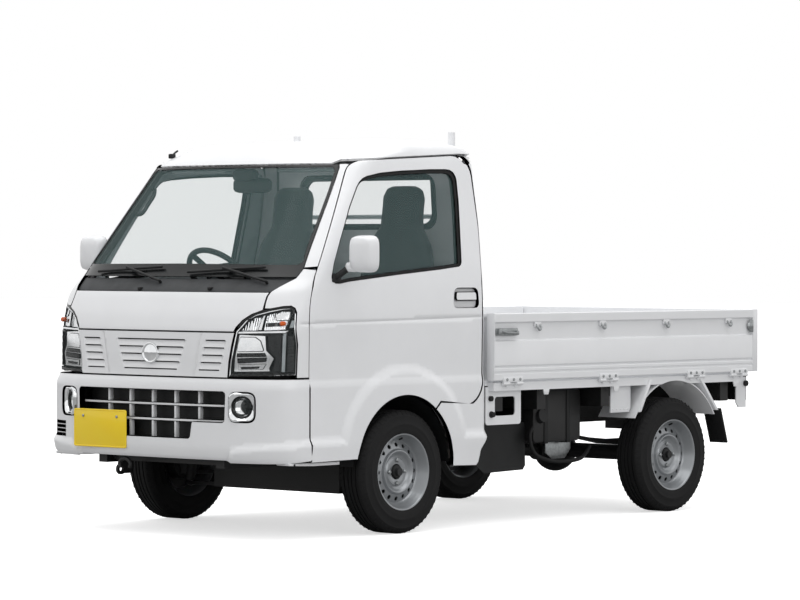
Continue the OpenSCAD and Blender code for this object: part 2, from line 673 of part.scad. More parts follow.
module bumper() at_axle() color("white")
    difference() {
        intersection() {
            cab_shell(0, 34, 34, 34, 34);
            from_side(-half_w - 50, half_w + 50)
                polygon([[door_front_x + door_gap / 2, door_sill_z + 8], [door_front_x + 60, 330],
                         [1000, 330], [1000, bumper_top_z - seam / 2],
                         [door_front_x + door_gap / 2, bumper_top_z - seam / 2]]);
        }
        // Air intake with its upright and level bars
        for (row = [[574, intake_z1, 438], [503, 565, 438], [intake_z0, 494, 255]])
            difference() {
                block([600, -row[2], row[0]], [1000, row[2], row[1]]);
                for (y = [-276, -138, 0, 138, 276]) block([600, y - 6, 0], [1000, y + 6, 1000]);
            }
        both_sides() translate([600, fog_y, fog_z]) rotate([0, 90, 0]) cylinder(r = fog_r + slide_gap, h = 400);
        both_sides() door_hinge_pocket();
    }
module headlights() at_axle() color([0.85, 0.87, 0.9])
    difference() {
        intersection() {
            cab_shell(0, 66, 66, 66, 66);
            lamp_blocks(-seam / 2);
        }
        front_seams(move_gap) hood_outline();
        front_seams(seam) grille_outline();
    }
module fog_lamps() at_axle() color("silver")
    intersection() {
        cab_shell(4, 70, 40, 40, 40);
        both_sides() translate([600, fog_y, fog_z]) rotate([0, 90, 0]) cylinder(r = fog_r, h = 400);
    }
// seat_lift brings the pivot's foot down to the curved cowl.
module wiper(pivot_y, tip_y, heel_y, seat_lift) {
    function on_glass(y, z, lift) = [skin_x(y, z) + 0.7 * lift, y, z + 0.7 * lift];
    seat = on_glass(pivot_y, 1092, seat_lift);
    pivot = on_glass(pivot_y, 1092, 4);
    tip = on_glass(tip_y, 1125, 10);
    mid = on_glass((tip_y + heel_y) / 2, 1136, 10);
    heel = on_glass(heel_y, 1147, 10);
    module rod(from, to) hull() for (p = [from, to]) translate(p) sphere(6, $fn = 16);
    rod(tip, mid);
    rod(mid, heel);
    rod(seat, pivot);
    rod(pivot, mid + [8, 0, 8]);
}
module wipers() at_axle() color("black") {
    wiper(-60, -500, -90, -7.4);
    wiper(540, 90, 500, -10.9);
}
// Dashboard, filling the cab's width under the windshield.
wheel_tilt = 50;
wheel_r = 182;
driver_y = -340;
wheel_at = [48, driver_y, 1096];
column_dir = [sin(wheel_tilt), 0, -cos(wheel_tilt)];
module dashboard() at_axle() color("dimgray") {
    intersection() {
        cab_volume(94.5, 80.5, 80.5, 80.5);
        from_side(-half_w, half_w)
            polygon(rounded([[660, 790, 0], [455, 725, 30], [418, 900, 40], [440, 1060, 50],
                             [520, 1086, 0], [660, 1070, 0]]));
        block([0, -cabin_y, 0], [1000, cabin_y, 2000]);
    }
    // Steering column
    translate(wheel_at + 30 * column_dir) rotate([0, 180 - wheel_tilt, 0]) cylinder(r = 38, h = 520);
    translate(wheel_at + 10 * column_dir) rotate([0, 180 - wheel_tilt, 0]) cylinder(r = 9, h = 40);
}
module steering_wheel() at_axle() color("black")
    translate(wheel_at) rotate([0, -wheel_tilt, 0]) {
        rotate_extrude($fn = 96) translate([wheel_r - 12, 0]) circle(13, $fn = 32);
        difference() {
            translate([0, 0, -24]) cylinder(r = 62, h = 34);
            translate([0, 0, -25]) cylinder(r = 9 + slide_gap, h = 16);
        }
        for (a = [90, 210, 330]) rotate([0, 0, a])
            translate([40, -14, -12]) cube([wheel_r - 60, 28, 12]);
    }
seat_w = 470;
module seat(y) {
    base = deck_z + 30;
    from_side(y - seat_w / 2, y + seat_w / 2)
        polygon(rounded([[60, base, 20], [95, 835, 35], [-325, 805, 0], [-340, base, 0]]));
    from_side(y - seat_w / 2, y + seat_w / 2)
        polygon(rounded([[-340.5, base, 0], [-325.5, 805, 0], [-318, 880, 60], [-425, 1300, 40],
                         [-492, 1320, 30], [-470, base, 0]]));
    from_side(y - 125, y + 125)
        polygon(rounded([[-428, 1300.5, 0], [-455, 1525, 25], [-506, 1535, 15], [-489, 1320.5, 0]]));
}
module seats() at_axle() color("dimgray") both_sides() seat(driver_y);

// ---- Doors ----------------------------------------------------------------------------

module door() {
    difference() {
        union() {
            intersection() {
                side_wall(0, 22);
                left_side() offset(delta = -door_gap / 2) door_outline();
            }
            intersection() {
                side_wall(21, cab_wall);
                left_side() offset(delta = -door_gap / 2 - 8) door_outline();
            }
        }
        left_side() window_outline();
        door_hinge_pocket();
    }
    door_hinge_moving();
}
module door_left() at_axle() color("white") door();
module door_right() at_axle() color("white") mirror([0, 1, 0]) door();
module door_pane()
    intersection() {
        side_wall(14, 14 + glass_t);
        left_side() offset(delta = -slide_gap) window_outline();
    }
module door_glass_left() at_axle() color([0.5, 0.6, 0.6, 0.4]) door_pane();
module door_glass_right() at_axle() color([0.5, 0.6, 0.6, 0.4]) mirror([0, 1, 0]) door_pane();
mirror_x = 383;
mirror_in_y = half_w + 38;
mirror_out_y = half_w + 165;
mirror_low_z = 1135;
mirror_high_z = 1290;
mirror_foot_z = 1058;
module mirror_body() {
    // Head
    from_front(mirror_x - 26, mirror_x + 26)
        polygon(rounded([[mirror_in_y, mirror_low_z, 24], [mirror_out_y, mirror_low_z, 30],
                         [mirror_out_y, mirror_high_z, 30], [mirror_in_y, mirror_high_z, 24]]));
    // Arm, seated on the door's skin ahead of the window
    foot_y = half_at(mirror_foot_z) + slide_gap;
    from_front(mirror_x - 10, mirror_x + 10)
        polygon([[foot_y, mirror_foot_z], [foot_y + 50, mirror_foot_z + 26],
                 [mirror_in_y + 40, mirror_low_z + 4], [mirror_in_y + 6, mirror_low_z + 20],
                 [foot_y + 10, mirror_foot_z + 44], [foot_y, mirror_foot_z + 22]]);
}
module mirror_left() at_axle() color("white") mirror_body();
module mirror_right() at_axle() color("white") mirror([0, 1, 0]) mirror_body();
module hood() at_axle() color("white") {
    intersection() {
        cab_shell(0, hood_t, hood_t, hood_t, hood_t);
        from_front(400, 1000) intersection() {
            hood_outline();
            translate([-800, 0]) square([1600, cowl_bottom_z - move_gap]);
        }
    }
    // Moving halves of the hinges
    at_hood_hinges() difference() {
        union() {
            rod_y(0, 0, hood_hinge_r, -13, 13);
            block([0, -13, -5], [12, 13, 3]);
        }
        rod_y(0, 0, 2 + slide_gap, -14, 14);
    }
}

// ---- Load bed -------------------------------------------------------------------------

bed_front_x = -cab_rear - 16;
gate_in_y = bed_in_w / 2;
gate_out_y = gate_in_y + gate_t;
gate_low_z = floor_z - 3;
gate_hinge_y = gate_out_y + 7;
gate_hinge_z = floor_z - 18;
gate_hinge_r = 7;
gate_hinge_xs = [-705, -1388, -2046, -2385];
tail_hinge_x = rear_x + gate_hinge_r;
tail_out_x = tail_hinge_x + 7;
tail_in_x = tail_out_x + gate_t;
bed_tail_x = tail_in_x + 9;
sill_y = gate_in_y - 7;
beam_xs = [-660, -960, -1420, -2330];
beam_low_z = rail_rear_z;
module gate_hinge_fixed(reach = 14) {
    for (x = [-38, 20]) translate([x, 0, 0]) rotate([0, 90, 0]) cylinder(r = gate_hinge_r, h = 18);
    translate([-38, 0, 0]) rotate([0, 90, 0]) cylinder(r = 3, h = 76);
    for (x = [-38, 20]) block([x, -reach, -13], [x + 18, 0, 4]);
}
module gate_hinge_moving()
    difference() {
        union() {
            translate([-19, 0, 0]) rotate([0, 90, 0]) cylinder(r = gate_hinge_r, h = 38);
            block([-19, -8, 0], [19, -2, 40]);
        }
        translate([-20, 0, 0]) rotate([0, 90, 0]) cylinder(r = 3 + slide_gap, h = 40);
    }
tail_hinge_ys = [-560, -200, 200, 560];
module bed_frame() at_axle() color("white") {
    for (x = beam_xs) block([x - 30, -sill_y, beam_low_z], [x + 30, sill_y, floor_z - floor_t]);
    block([rear_axle_x - 30, -rail_out_y, beam_low_z], [rear_axle_x + 30, rail_out_y, floor_z - floor_t]);
    // Rear sill, with the tailgate's fixed hinge halves
    block([bed_tail_x - 10, -sill_y, beam_low_z], [bed_tail_x + 40, sill_y, floor_z - floor_t]);
    for (y = tail_hinge_ys)
        translate([tail_hinge_x, y, gate_hinge_z]) rotate([0, 0, 90])
            gate_hinge_fixed(bed_tail_x - 1 - tail_hinge_x);
}
// Side rails of the bed, arched over the rear wheels, with all that hangs on them
plate_t = 6;
module bed_sills() at_axle() color("white")
    both_sides() {
        difference() {
            from_side(sill_y, gate_out_y - 2)
                polygon([[bed_front_x - 20, floor_z - 48], [bed_tail_x + 70, floor_z - 48],
                         [bed_tail_x + 70, floor_z - 12], [bed_front_x - 20, floor_z - 12]]);
            rod_y(rear_axle_x, tyre_r, floor_z - 32 - tyre_r, 0, half_w);
        }
        for (x = gate_hinge_xs) translate([x, gate_hinge_y, gate_hinge_z]) gate_hinge_fixed();
        // Front bracket plate behind the cab, with its hole, and the rear corner post
        difference() {
            from_side(sill_y, sill_y + plate_t)
                polygon(rounded([[bed_front_x, 450, 15], [bed_front_x, floor_z - 30, 0],
                                 [-810, floor_z - 30, 0], [-810, 450, 15]]));
            from_side(0, half_w)
                polygon(rounded([[-630, 490, 15], [-630, 575, 15], [-770, 575, 15], [-770, 490, 15]]));
        }
        from_side(sill_y, sill_y + plate_t)
            polygon([[-2420, floor_z - 30], [-2420, 500], [-2440, 475], [bed_tail_x + 2, 475],
                     [bed_tail_x + 2, floor_z - 30]]);
    }
// The headboard has a foot of its own ahead of the load floor.
headboard_foot = 40;
module bed_floor() at_axle() color("white")
    block([bed_tail_x, -sill_y, floor_z - floor_t],
          [bed_front_x - headboard_foot - slide_gap, sill_y, floor_z]);
post_y = 478;
post_r = 16;
post_x = bed_front_x - 8 - post_r;
module headboard() at_axle() color("white") {
    block([bed_front_x - headboard_foot, -sill_y, floor_z - floor_t], [bed_front_x, sill_y, floor_z]);
    block([post_x - 6, -sill_y, floor_z], [post_x + 6, sill_y, gate_top_z]);
    both_sides() translate([post_x, post_y, floor_z]) cylinder(r = post_r, h = guard_top_z - floor_z);
    for (z = [1160, 1380, 1600]) rod_y(post_x, z, 11, -post_y, post_y);
    rod_y(post_x, gate_top_z - 12, 14, -sill_y, sill_y);
}
fender_r = 352;
module rear_fenders() at_axle() color("gainsboro")
    both_sides() difference() {
        rod_y(rear_axle_x, tyre_r, fender_r + 5, rail_out_y + 130, gate_out_y - 3);
        rod_y(rear_axle_x, tyre_r, fender_r, rail_out_y + 100, half_w);
        block([rear_axle_x - 500, 0, -200], [rear_axle_x + 500, half_w, 450]);
        block([rear_axle_x - 500, 0, floor_z - floor_t], [rear_axle_x + 500, half_w, 900]);
        from_side(sill_y - 10, half_w)
            polygon([[rear_axle_x - 240, floor_z - 50], [rear_axle_x + 240, floor_z - 50],
                     [rear_axle_x + 240, floor_z], [rear_axle_x - 240, floor_z]]);
    }
module tail_lamps() at_axle() color("red")
    both_sides() block([bed_tail_x - 34, 470, 520], [bed_tail_x - 10, 660, 600]);
plate_w = 330;
plate_h = 165;
plate_y = -293;
plate_z = 453;
module number_plates() at_axle() {
    color("gold") block([front_overhang - 2, plate_y - plate_w / 2, plate_z - plate_h / 2],
                        [front_overhang, plate_y + plate_w / 2, plate_z + plate_h / 2]);
    // Bosses that hold the front plate off the curved bumper
    color("gold") for (y = [plate_y - 105, plate_y + 105]) {
        seat_x = skin_x(y, plate_z) + seam;
        translate([seat_x, y, plate_z]) rotate([0, 90, 0]) cylinder(r = 9, h = front_overhang - 1 - seat_x);
    }
    color("gold") block([rail_tail_x - 2, -plate_w / 2, rail_rear_z - plate_h],
                        [rail_tail_x, plate_w / 2, rail_rear_z]);
}
module gate_panel(length) {
    // A gate seen end on, with its top rail, recessed band and main panel
    rotate([90, 0, 90]) linear_extrude(length)
        polygon([[gate_in_y, gate_low_z], [gate_out_y - 4, gate_low_z], [gate_out_y, gate_low_z + 20],
                 [gate_out_y, floor_z + 175], [gate_out_y - 12, floor_z + 179],
                 [gate_out_y - 12, gate_top_z - 44], [gate_out_y + 2, gate_top_z - 40],
                 [gate_out_y + 2, gate_top_z], [gate_in_y, gate_top_z], [gate_in_y, gate_top_z - 30],
                 [gate_in_y + 8, gate_top_z - 34], [gate_in_y + 8, gate_low_z + 30], [gate_in_y, gate_low_z + 26]]);
}
gate_front_x = bed_front_x - 5;
module side_gate() {
    translate([bed_tail_x, 0, 0]) gate_panel(gate_front_x - bed_tail_x);
    for (x = gate_hinge_xs) translate([x, gate_hinge_y, gate_hinge_z]) gate_hinge_moving();
}
module gate_left() at_axle() color("white") side_gate();
module gate_right() at_axle() color("white") mirror([0, 1, 0]) side_gate();
tail_half = gate_out_y - 2;
module tailgate() at_axle() color("white") {
    translate([tail_out_x + gate_out_y, -tail_half, 0]) rotate([0, 0, 90]) gate_panel(2 * tail_half);
    for (y = tail_hinge_ys)
        translate([tail_hinge_x, y, gate_hinge_z]) rotate([0, 0, 90]) gate_hinge_moving();
}

frame();
front_suspension();
rear_axle();
leaf_springs();
engine();
propeller_shaft();
exhaust();
fuel_tank();
battery_box();
side_shields();
cab_floor();
firewall();
front_pillars();
rear_quarters();
cab_back();
roof();
cab_glass();
cowl();
grille();
bumper();
headlights();
fog_lamps();
wipers();
dashboard();
seats();
bed_frame();
bed_sills();
bed_floor();
headboard();
rear_fenders();
tail_lamps();
number_plates();
hood();
door_left();
door_right();
door_glass_left();
door_glass_right();
mirror_left();
mirror_right();
gate_left();
gate_right();
tailgate();
steering_wheel();
steering_rods();
knuckle_left();
knuckle_right();
tyre_front_left();
tyre_front_right();
tyre_rear_left();
tyre_rear_right();
rim_front_left();
rim_front_right();
rim_rear_left();
rim_rear_right();
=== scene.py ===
# %% [markdown]
# # A kei truck
# A kei truck is a very small working pickup: a thin painted steel cab over the front
# wheels, a flat bed with three drop-down gates, and bare black running gear under both.
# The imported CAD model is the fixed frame. The running gear is shown as it stands, and the
# pressed panels, lamps, glass, wheels and trim are made here round it.

# %% Load the frame
import math
import bmesh
import bpy
import numpy as np
from mathutils import Matrix, Vector
from mathutils.geometry import delaunay_2d_cdt


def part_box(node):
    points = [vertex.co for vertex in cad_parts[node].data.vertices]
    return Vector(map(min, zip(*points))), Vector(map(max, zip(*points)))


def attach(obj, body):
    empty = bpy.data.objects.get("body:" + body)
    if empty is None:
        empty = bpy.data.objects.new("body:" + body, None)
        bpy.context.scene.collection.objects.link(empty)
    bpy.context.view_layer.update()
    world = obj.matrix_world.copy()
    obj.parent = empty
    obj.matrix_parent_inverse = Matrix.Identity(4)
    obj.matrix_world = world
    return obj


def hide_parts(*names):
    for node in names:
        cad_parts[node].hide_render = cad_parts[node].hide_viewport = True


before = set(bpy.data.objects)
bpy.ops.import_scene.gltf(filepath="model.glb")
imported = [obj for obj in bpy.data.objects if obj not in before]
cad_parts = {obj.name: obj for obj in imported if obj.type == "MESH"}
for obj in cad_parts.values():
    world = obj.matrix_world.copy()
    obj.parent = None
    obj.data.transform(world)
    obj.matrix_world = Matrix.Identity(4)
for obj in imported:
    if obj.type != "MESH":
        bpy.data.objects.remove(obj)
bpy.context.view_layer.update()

# %% [markdown]
# A truck is drawn in millimetres from its front axle, as a body draughtsman does, so that
# a panel's numbers read like a drawing. One function turns those points into the frame's
# metres. The axle's place comes from the CAD tyre.

# %% Drawing units
def middle(node):
    low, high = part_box(node)
    return (low + high) / 2


AXLE = middle("tyre_front_left").x * 1000
REAR_AXLE = middle("tyre_rear_left").x * 1000 - AXLE
HALF_TRACK = middle("tyre_front_left").y * 1000
REAR_HALF_TRACK = middle("tyre_rear_left").y * 1000
TYRE_R = middle("tyre_front_left").z * 1000


def metres(points):
    return (np.asarray(points, float) + (AXLE, 0, 0)) / 1000


print(f"front axle {AXLE:.1f} mm ahead of the origin, wheelbase {-REAR_AXLE:.1f} mm")

# %% [markdown]
# ## Camera
# A long lens from the front left corner, a little above the door handles, keeps the
# truck's lines nearly parallel. The camera comes first, because everything is judged
# through it.

# %% Camera
CAMERA_AT = metres([(11833.8, 11340.4, 1210.7)])[0]
CAMERA_YAW, CAMERA_PITCH, CAMERA_ROLL = -2.4093, -0.0125, 0.002
LENS_MM = 165.5


def camera_axes(yaw, pitch, roll):
    ahead = Vector((math.cos(pitch) * math.cos(yaw), math.cos(pitch) * math.sin(yaw), math.sin(pitch)))
    right = ahead.cross(Vector((0, 0, 1))).normalized()
    up = right.cross(ahead)
    c, s = math.cos(roll), math.sin(roll)
    return c * right + s * up, c * up - s * right, -ahead


camera = bpy.data.objects.new("camera", bpy.data.cameras.new("camera"))
camera.data.lens = LENS_MM
camera.data.sensor_width = 36
camera.data.clip_end = 200
bpy.context.scene.collection.objects.link(camera)
rotation = Matrix(camera_axes(CAMERA_YAW, CAMERA_PITCH, CAMERA_ROLL)).transposed()
camera.matrix_world = Matrix.Translation(CAMERA_AT) @ rotation.to_4x4()
bpy.context.scene.camera = camera
print("camera at", [round(v, 2) for v in camera.location])

# %% [markdown]
# ## Materials
# Colours are written as the hex values a painter would read off a screen, and one
# function turns them into the linear numbers that the renderer works in. One more
# function adds a node with its settings and links, so a material reads as a short list.

# %% Colour and node helpers
def colour(hex_value, alpha=1.0):
    levels = [int(hex_value[i : i + 2], 16) / 255 for i in (1, 3, 5)]
    linear = [v / 12.92 if v <= 0.04045 else ((v + 0.055) / 1.055) ** 2.4 for v in levels]
    return (*linear, alpha)


def node(tree, kind, settings=None, links=None):
    """Adds a node. settings name sockets or properties, links name sockets fed by other outputs."""
    made = tree.nodes.new(kind)
    for name, value in (settings or {}).items():
        if isinstance(name, int) or name in made.inputs:
            made.inputs[name].default_value = value
        else:
            setattr(made, name, value)
    for name, source in (links or {}).items():
        tree.links.new(source, made.inputs[name])
    return made


def new_material(name, **settings):
    """A Principled material whose constant values sit on the shader's own sockets."""
    made = bpy.data.materials.new(name)
    made.use_nodes = True
    shader = made.node_tree.nodes["Principled BSDF"]
    for socket, value in settings.items():
        shader.inputs["IOR" if socket == "IOR" else socket.replace("_", " ").title()].default_value = value
    return made, made.node_tree, shader


def object_noise(tree, size_mm, detail=2.0, stretch=(1, 1, 1)):
    """Noise in object coordinates whose blotches are about size_mm across."""
    place = node(tree, "ShaderNodeTexCoord")
    mapping = node(tree, "ShaderNodeMapping", {"Scale": stretch}, {"Vector": place.outputs["Object"]})
    return node(tree, "ShaderNodeTexNoise", {"Scale": 1000 / size_mm, "Detail": detail},
                {"Vector": mapping.outputs[0]}).outputs["Fac"]


def between(tree, factor, low, high, start=0.3, stop=0.7):
    """A colour that runs from low to high as the factor rises."""
    ramp = node(tree, "ShaderNodeValToRGB", links={"Fac": factor})
    ramp.color_ramp.elements[0].position = start
    ramp.color_ramp.elements[1].position = stop
    ramp.color_ramp.elements[0].color = colour(low)
    ramp.color_ramp.elements[1].color = colour(high)
    return ramp.outputs["Color"]


def roughness_band(tree, factor, low, high):
    return node(tree, "ShaderNodeMapRange", {"To Min": low, "To Max": high}, {"Value": factor}).outputs[0]


def add_bump(tree, shader, height, depth_mm, strength=1.0):
    bump = node(tree, "ShaderNodeBump", {"Strength": strength, "Distance": depth_mm / 1000},
                {"Height": height})
    tree.links.new(bump.outputs["Normal"], shader.inputs["Normal"])


# %% [markdown]
# Enamel on a work truck is a plain solid white under a clear gloss. The eye gets a soft
# body colour from below, a sharp thin reflection from the gloss, and a faint waviness
# where the paint has flowed, a few millimetres from crest to crest.

# %% Painted finishes
def enamel(name, low, high, roughness=0.32, coat=0.35, wave_mm=9, wave_depth=0.012):
    made, tree, shader = new_material(name, Roughness=roughness, IOR=1.5, Coat_weight=coat,
                                      Coat_roughness=0.06)
    cloud = object_noise(tree, 160, 3)
    tree.links.new(between(tree, cloud, low, high), shader.inputs["Base Color"])
    tree.links.new(roughness_band(tree, cloud, roughness - 0.05, roughness + 0.05),
                   shader.inputs["Roughness"])
    add_bump(tree, shader, object_noise(tree, wave_mm, 1), wave_depth)
    return made


WHITE_ENAMEL = enamel("white_baked_enamel", "#EAEBED", "#EDEEF0")
BED_ENAMEL = enamel("white_bed_enamel", "#E9EAEC", "#ECEDEF", roughness=0.38)
CHASSIS_BLACK = enamel("black_chassis_wax", "#050506", "#0B0B0C", roughness=0.55, coat=0.05, wave_mm=14)
WHEEL_SILVER = enamel("silver_wheel_lacquer", "#8B8E91", "#989B9E", roughness=0.3, coat=0.3)
WHEEL_SILVER.node_tree.nodes["Principled BSDF"].inputs["Metallic"].default_value = 0.55
PLATE_YELLOW = enamel("yellow_plate_enamel", "#FFDA00", "#FFE010", roughness=0.3)
print("painted finishes ready")

# %% [markdown]
# Moulded plastic trim is dull because its mould was etched with a fine grain. The grain is
# about half a millimetre across on the real part. It is drawn at two millimetres, because
# anything finer than that would vanish in the picture.

# %% Plastics and rubber
def moulded(name, low, high, roughness=0.55, grain_mm=2.0, depth=0.12):
    made, tree, shader = new_material(name, Roughness=roughness, IOR=1.4)
    tree.links.new(between(tree, object_noise(tree, 60, 3), low, high), shader.inputs["Base Color"])
    add_bump(tree, shader, object_noise(tree, grain_mm, 2), depth)
    return made


BLACK_PLASTIC = moulded("black_grained_polypropylene", "#101112", "#18191A")
GLOSS_BLACK = moulded("black_gloss_abs", "#0C0D0E", "#121314", roughness=0.18, depth=0.01)
COWL_PLASTIC = moulded("charcoal_cowl_polypropylene", "#2C2E30", "#383A3C", roughness=0.6)
DASH_PLASTIC = moulded("slate_dashboard_plastic", "#2F3537", "#3B4244")
TRIM_PLASTIC = moulded("pale_grey_trim_plastic", "#9DA5A7", "#AAB1B3")
RUBBER = moulded("black_epdm_rubber", "#0D0D0E", "#171718", roughness=0.7)
TYRE_RUBBER = moulded("carbon_black_tyre_rubber", "#070708", "#0E0E0F", roughness=0.78, grain_mm=3.0,
                      depth=0.2)
MUD_RUBBER = moulded("black_mud_flap_rubber", "#0C0C0D", "#141415", roughness=0.65)

# %% [markdown]
# Bare metals: chrome is a mirror with hardly any roughness, and zinc-plated steel is
# a greyer one with cloudy crystals. Metals keep the default IOR, and their colour is
# the colour of their reflection.

# %% Metals
def plated(name, low, high, roughness, cloud_mm=12):
    made, tree, shader = new_material(name, Metallic=1.0, Roughness=roughness)
    cloud = object_noise(tree, cloud_mm, 3)
    tree.links.new(between(tree, cloud, low, high), shader.inputs["Base Color"])
    tree.links.new(roughness_band(tree, cloud, roughness * 0.8, roughness * 1.3), shader.inputs["Roughness"])
    return made


CHROME = plated("vacuum_coated_aluminium", "#E4E6E8", "#F2F3F4", 0.06, 40)
ZINC = plated("zinc_plated_steel", "#8E9192", "#A9ACAD", 0.36)
EXHAUST_STEEL = plated("aluminised_exhaust_steel", "#6D6A66", "#837F7A", 0.45)
CAST_METAL = moulded("cast_engine_metal", "#232425", "#303132", roughness=0.6, grain_mm=5, depth=0.3)

# %% [markdown]
# Automotive glass is seen through more than it is seen. A pane lets most light straight
# on and adds a faint green-grey of its own and a sharp reflection, so it is a thin film
# with a low alpha and a smooth surface. The clear plastic of a lamp has less colour.

# %% Glass and lenses
def pane(name, tint, alpha, roughness=0.02):
    made, tree, shader = new_material(name, Base_color=colour(tint), Roughness=roughness, IOR=1.5,
                                      Alpha=alpha)
    add_bump(tree, shader, object_noise(tree, 220, 1), 0.02)
    return made


WINDOW_GLASS = pane("green_tinted_safety_glass", "#8DAEAE", 0.09)
LAMP_LENS = pane("clear_polycarbonate", "#A4ACAE", 0.035)
FRIT = moulded("black_ceramic_frit", "#101213", "#17191A", roughness=0.25, depth=0.01)
RED_LENS = pane("red_acrylic", "#B01218", 0.85, 0.08)
AMBER_LENS = pane("amber_acrylic", "#E2600F", 0.9, 0.12)
REVERSE_LENS = pane("frosted_acrylic", "#E8ECEE", 0.85, 0.15)

# %% [markdown]
# Seat cloth is a flat weave of grey yarn. The yarn is 1 mm thick on the real seat and is
# drawn 3 mm thick, as two crossing waves that raise and darken the cloth.

# %% Seat cloth
def woven(name, low, high, yarn_mm=3.0):
    made, tree, shader = new_material(name, Roughness=0.9, Sheen_weight=0.25)
    place = node(tree, "ShaderNodeTexCoord").outputs["Object"]
    waves = [node(tree, "ShaderNodeTexWave", {"bands_direction": axis, "Scale": 1000 / yarn_mm / 6.28},
                  {"Vector": place}).outputs["Fac"] for axis in ("Y", "Z")]
    weave = node(tree, "ShaderNodeMath", {"operation": "MULTIPLY"}, {0: waves[0], 1: waves[1]}).outputs[0]
    tree.links.new(between(tree, weave, low, high, 0.1, 0.8), shader.inputs["Base Color"])
    add_bump(tree, shader, weave, 0.5)
    return made


SEAT_CLOTH = woven("slate_woven_seat_cloth", "#24282A", "#353A3C")
print("materials:", len(bpy.data.materials))

# %% [markdown]
# ## Building blocks
# Most of the truck is made by a handful of workshop tools: bend a sheet, turn a profile,
# push an outline through, run a tube. Each returns a shape, which is a list of points and
# a list of faces. A piece collects shapes and their materials and becomes one object.

# %% Shapes and pieces
TRIANGLES = {}


class Piece:
    """Collects shapes, each with its material, and makes one object of them."""

    def __init__(self, name, body, slot, *replaced):
        self.name, self.body, self.slot, self.replaced = name, body, slot, replaced
        self.shapes = []

    def add(self, shape, material, smooth=35.0):
        points, faces = shape[:2]
        normals = shape[2] if len(shape) > 2 else None
        self.shapes.append((np.asarray(points, float), [tuple(f) for f in faces], material, smooth, normals))
        return self

    def add_both(self, shape, material, smooth=35.0):
        """Adds a shape and its mirror image on the other side of the truck."""
        return self.add(shape, material, smooth).add(mirrored(shape), material, smooth)

    def make(self):
        materials, points, faces, slots, corner_normals, start = [], [], [], [], [], 0
        for verts, polys, material, smooth, normals in self.shapes:
            if material not in materials:
                materials.append(material)
            part = bpy.data.meshes.new("part")
            part.from_pydata(metres(verts), [], polys)
            if normals is None:
                part.shade_smooth()
                part.set_sharp_from_angle(angle=math.radians(smooth))
                own = np.zeros(len(part.loops) * 3, np.float32)
                part.corner_normals.foreach_get("vector", own)
                corner_normals.append(own.reshape(-1, 3))
            else:
                order = np.zeros(len(part.loops), np.int32)
                part.loops.foreach_get("vertex_index", order)
                corner_normals.append(np.asarray(normals, np.float32)[order])
            bpy.data.meshes.remove(part)
            points.append(metres(verts))
            faces += [tuple(i + start for i in f) for f in polys]
            slots += [materials.index(material)] * len(polys)
            start += len(verts)
        mesh = bpy.data.meshes.new(self.name)
        mesh.from_pydata(np.concatenate(points), [], faces)
        for material in materials:
            mesh.materials.append(material)
        mesh.polygons.foreach_set("material_index", slots)
        mesh.shade_smooth()
        mesh.normals_split_custom_set(np.concatenate(corner_normals).tolist())
        made = bpy.data.objects.new(self.name, mesh)
        bpy.context.scene.collection.objects.link(made)
        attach(made, self.body)
        if self.replaced:
            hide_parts(*self.replaced)
        TRIANGLES[self.name] = sum(len(f) - 2 for f in faces)
        print(f"{self.name}: {TRIANGLES[self.name]} triangles on {self.body}")
        return made


def mirrored(shape):
    """The same shape on the other side of the truck, with its faces still pointing out."""
    points = np.asarray(shape[0], float) * (1, -1, 1)
    normals = None if len(shape) < 3 or shape[2] is None else np.asarray(shape[2]) * (1, -1, 1)
    return points, [tuple(reversed(f)) for f in shape[1]], normals


def moved(shape, shift=(0, 0, 0), turn=None, scale=(1, 1, 1)):
    """A copy that is scaled, turned by a matrix and then shifted."""
    points = np.asarray(shape[0], float) * scale
    if turn is not None:
        points = points @ np.array(turn.to_3x3()).T
    return points + shift, shape[1]


def joined(*shapes):
    points, faces, start = [], [], 0
    for verts, polys in (s[:2] for s in shapes):
        points.append(np.asarray(verts, float))
        faces += [tuple(i + start for i in f) for f in polys]
        start += len(verts)
    return np.concatenate(points), faces


def from_bmesh(bm):
    bm.verts.index_update()
    shape = [tuple(v.co) for v in bm.verts], [tuple(v.index for v in f.verts) for f in bm.faces]
    bm.free()
    return shape


def softened(points, faces, radius, segments=2, angle=28.0):
    """Closes a shape's normals outwards and rounds its sharp edges."""
    bm = bmesh.new()
    verts = [bm.verts.new(p) for p in points]
    for f in faces:
        bm.faces.new([verts[i] for i in f])
    bmesh.ops.recalc_face_normals(bm, faces=bm.faces)
    if radius > 0:
        edges = [e for e in bm.edges if len(e.link_faces) == 2 and e.calc_face_angle(0) > math.radians(angle)]
        bmesh.ops.bevel(bm, geom=edges, offset=radius, segments=segments, profile=0.5, affect="EDGES",
                        clamp_overlap=True)
    return from_bmesh(bm)


def block(low, high, radius=2.0, segments=2):
    """A box between two corners with rounded edges."""
    (x0, y0, z0), (x1, y1, z1) = np.minimum(low, high), np.maximum(low, high)
    points = [(x, y, z) for z in (z0, z1) for y in (y0, y1) for x in (x0, x1)]
    faces = [(0, 2, 3, 1), (4, 5, 7, 6), (0, 1, 5, 4), (2, 6, 7, 3), (0, 4, 6, 2), (1, 3, 7, 5)]
    return softened(points, faces, radius, segments)


def pushed(outline, low, high, axis="y", radius=1.5, segments=2):
    """An outline pushed straight through from low to high along an axis, with rounded edges.
    The outline is (x, z) for axis y, (y, z) for axis x and (x, y) for axis z."""
    at = {"y": lambda a, b, t: (a, t, b), "x": lambda a, b, t: (t, a, b), "z": lambda a, b,
          t: (a, b, t)}[axis]
    n = len(outline)
    points = [at(a, b, t) for t in (low, high) for a, b in outline]
    faces = [tuple(range(n)), tuple(range(2 * n - 1, n - 1, -1))]
    faces += [(i, i + n, (i + 1) % n + n, (i + 1) % n) for i in range(n)]
    return softened(points, faces, radius, segments)


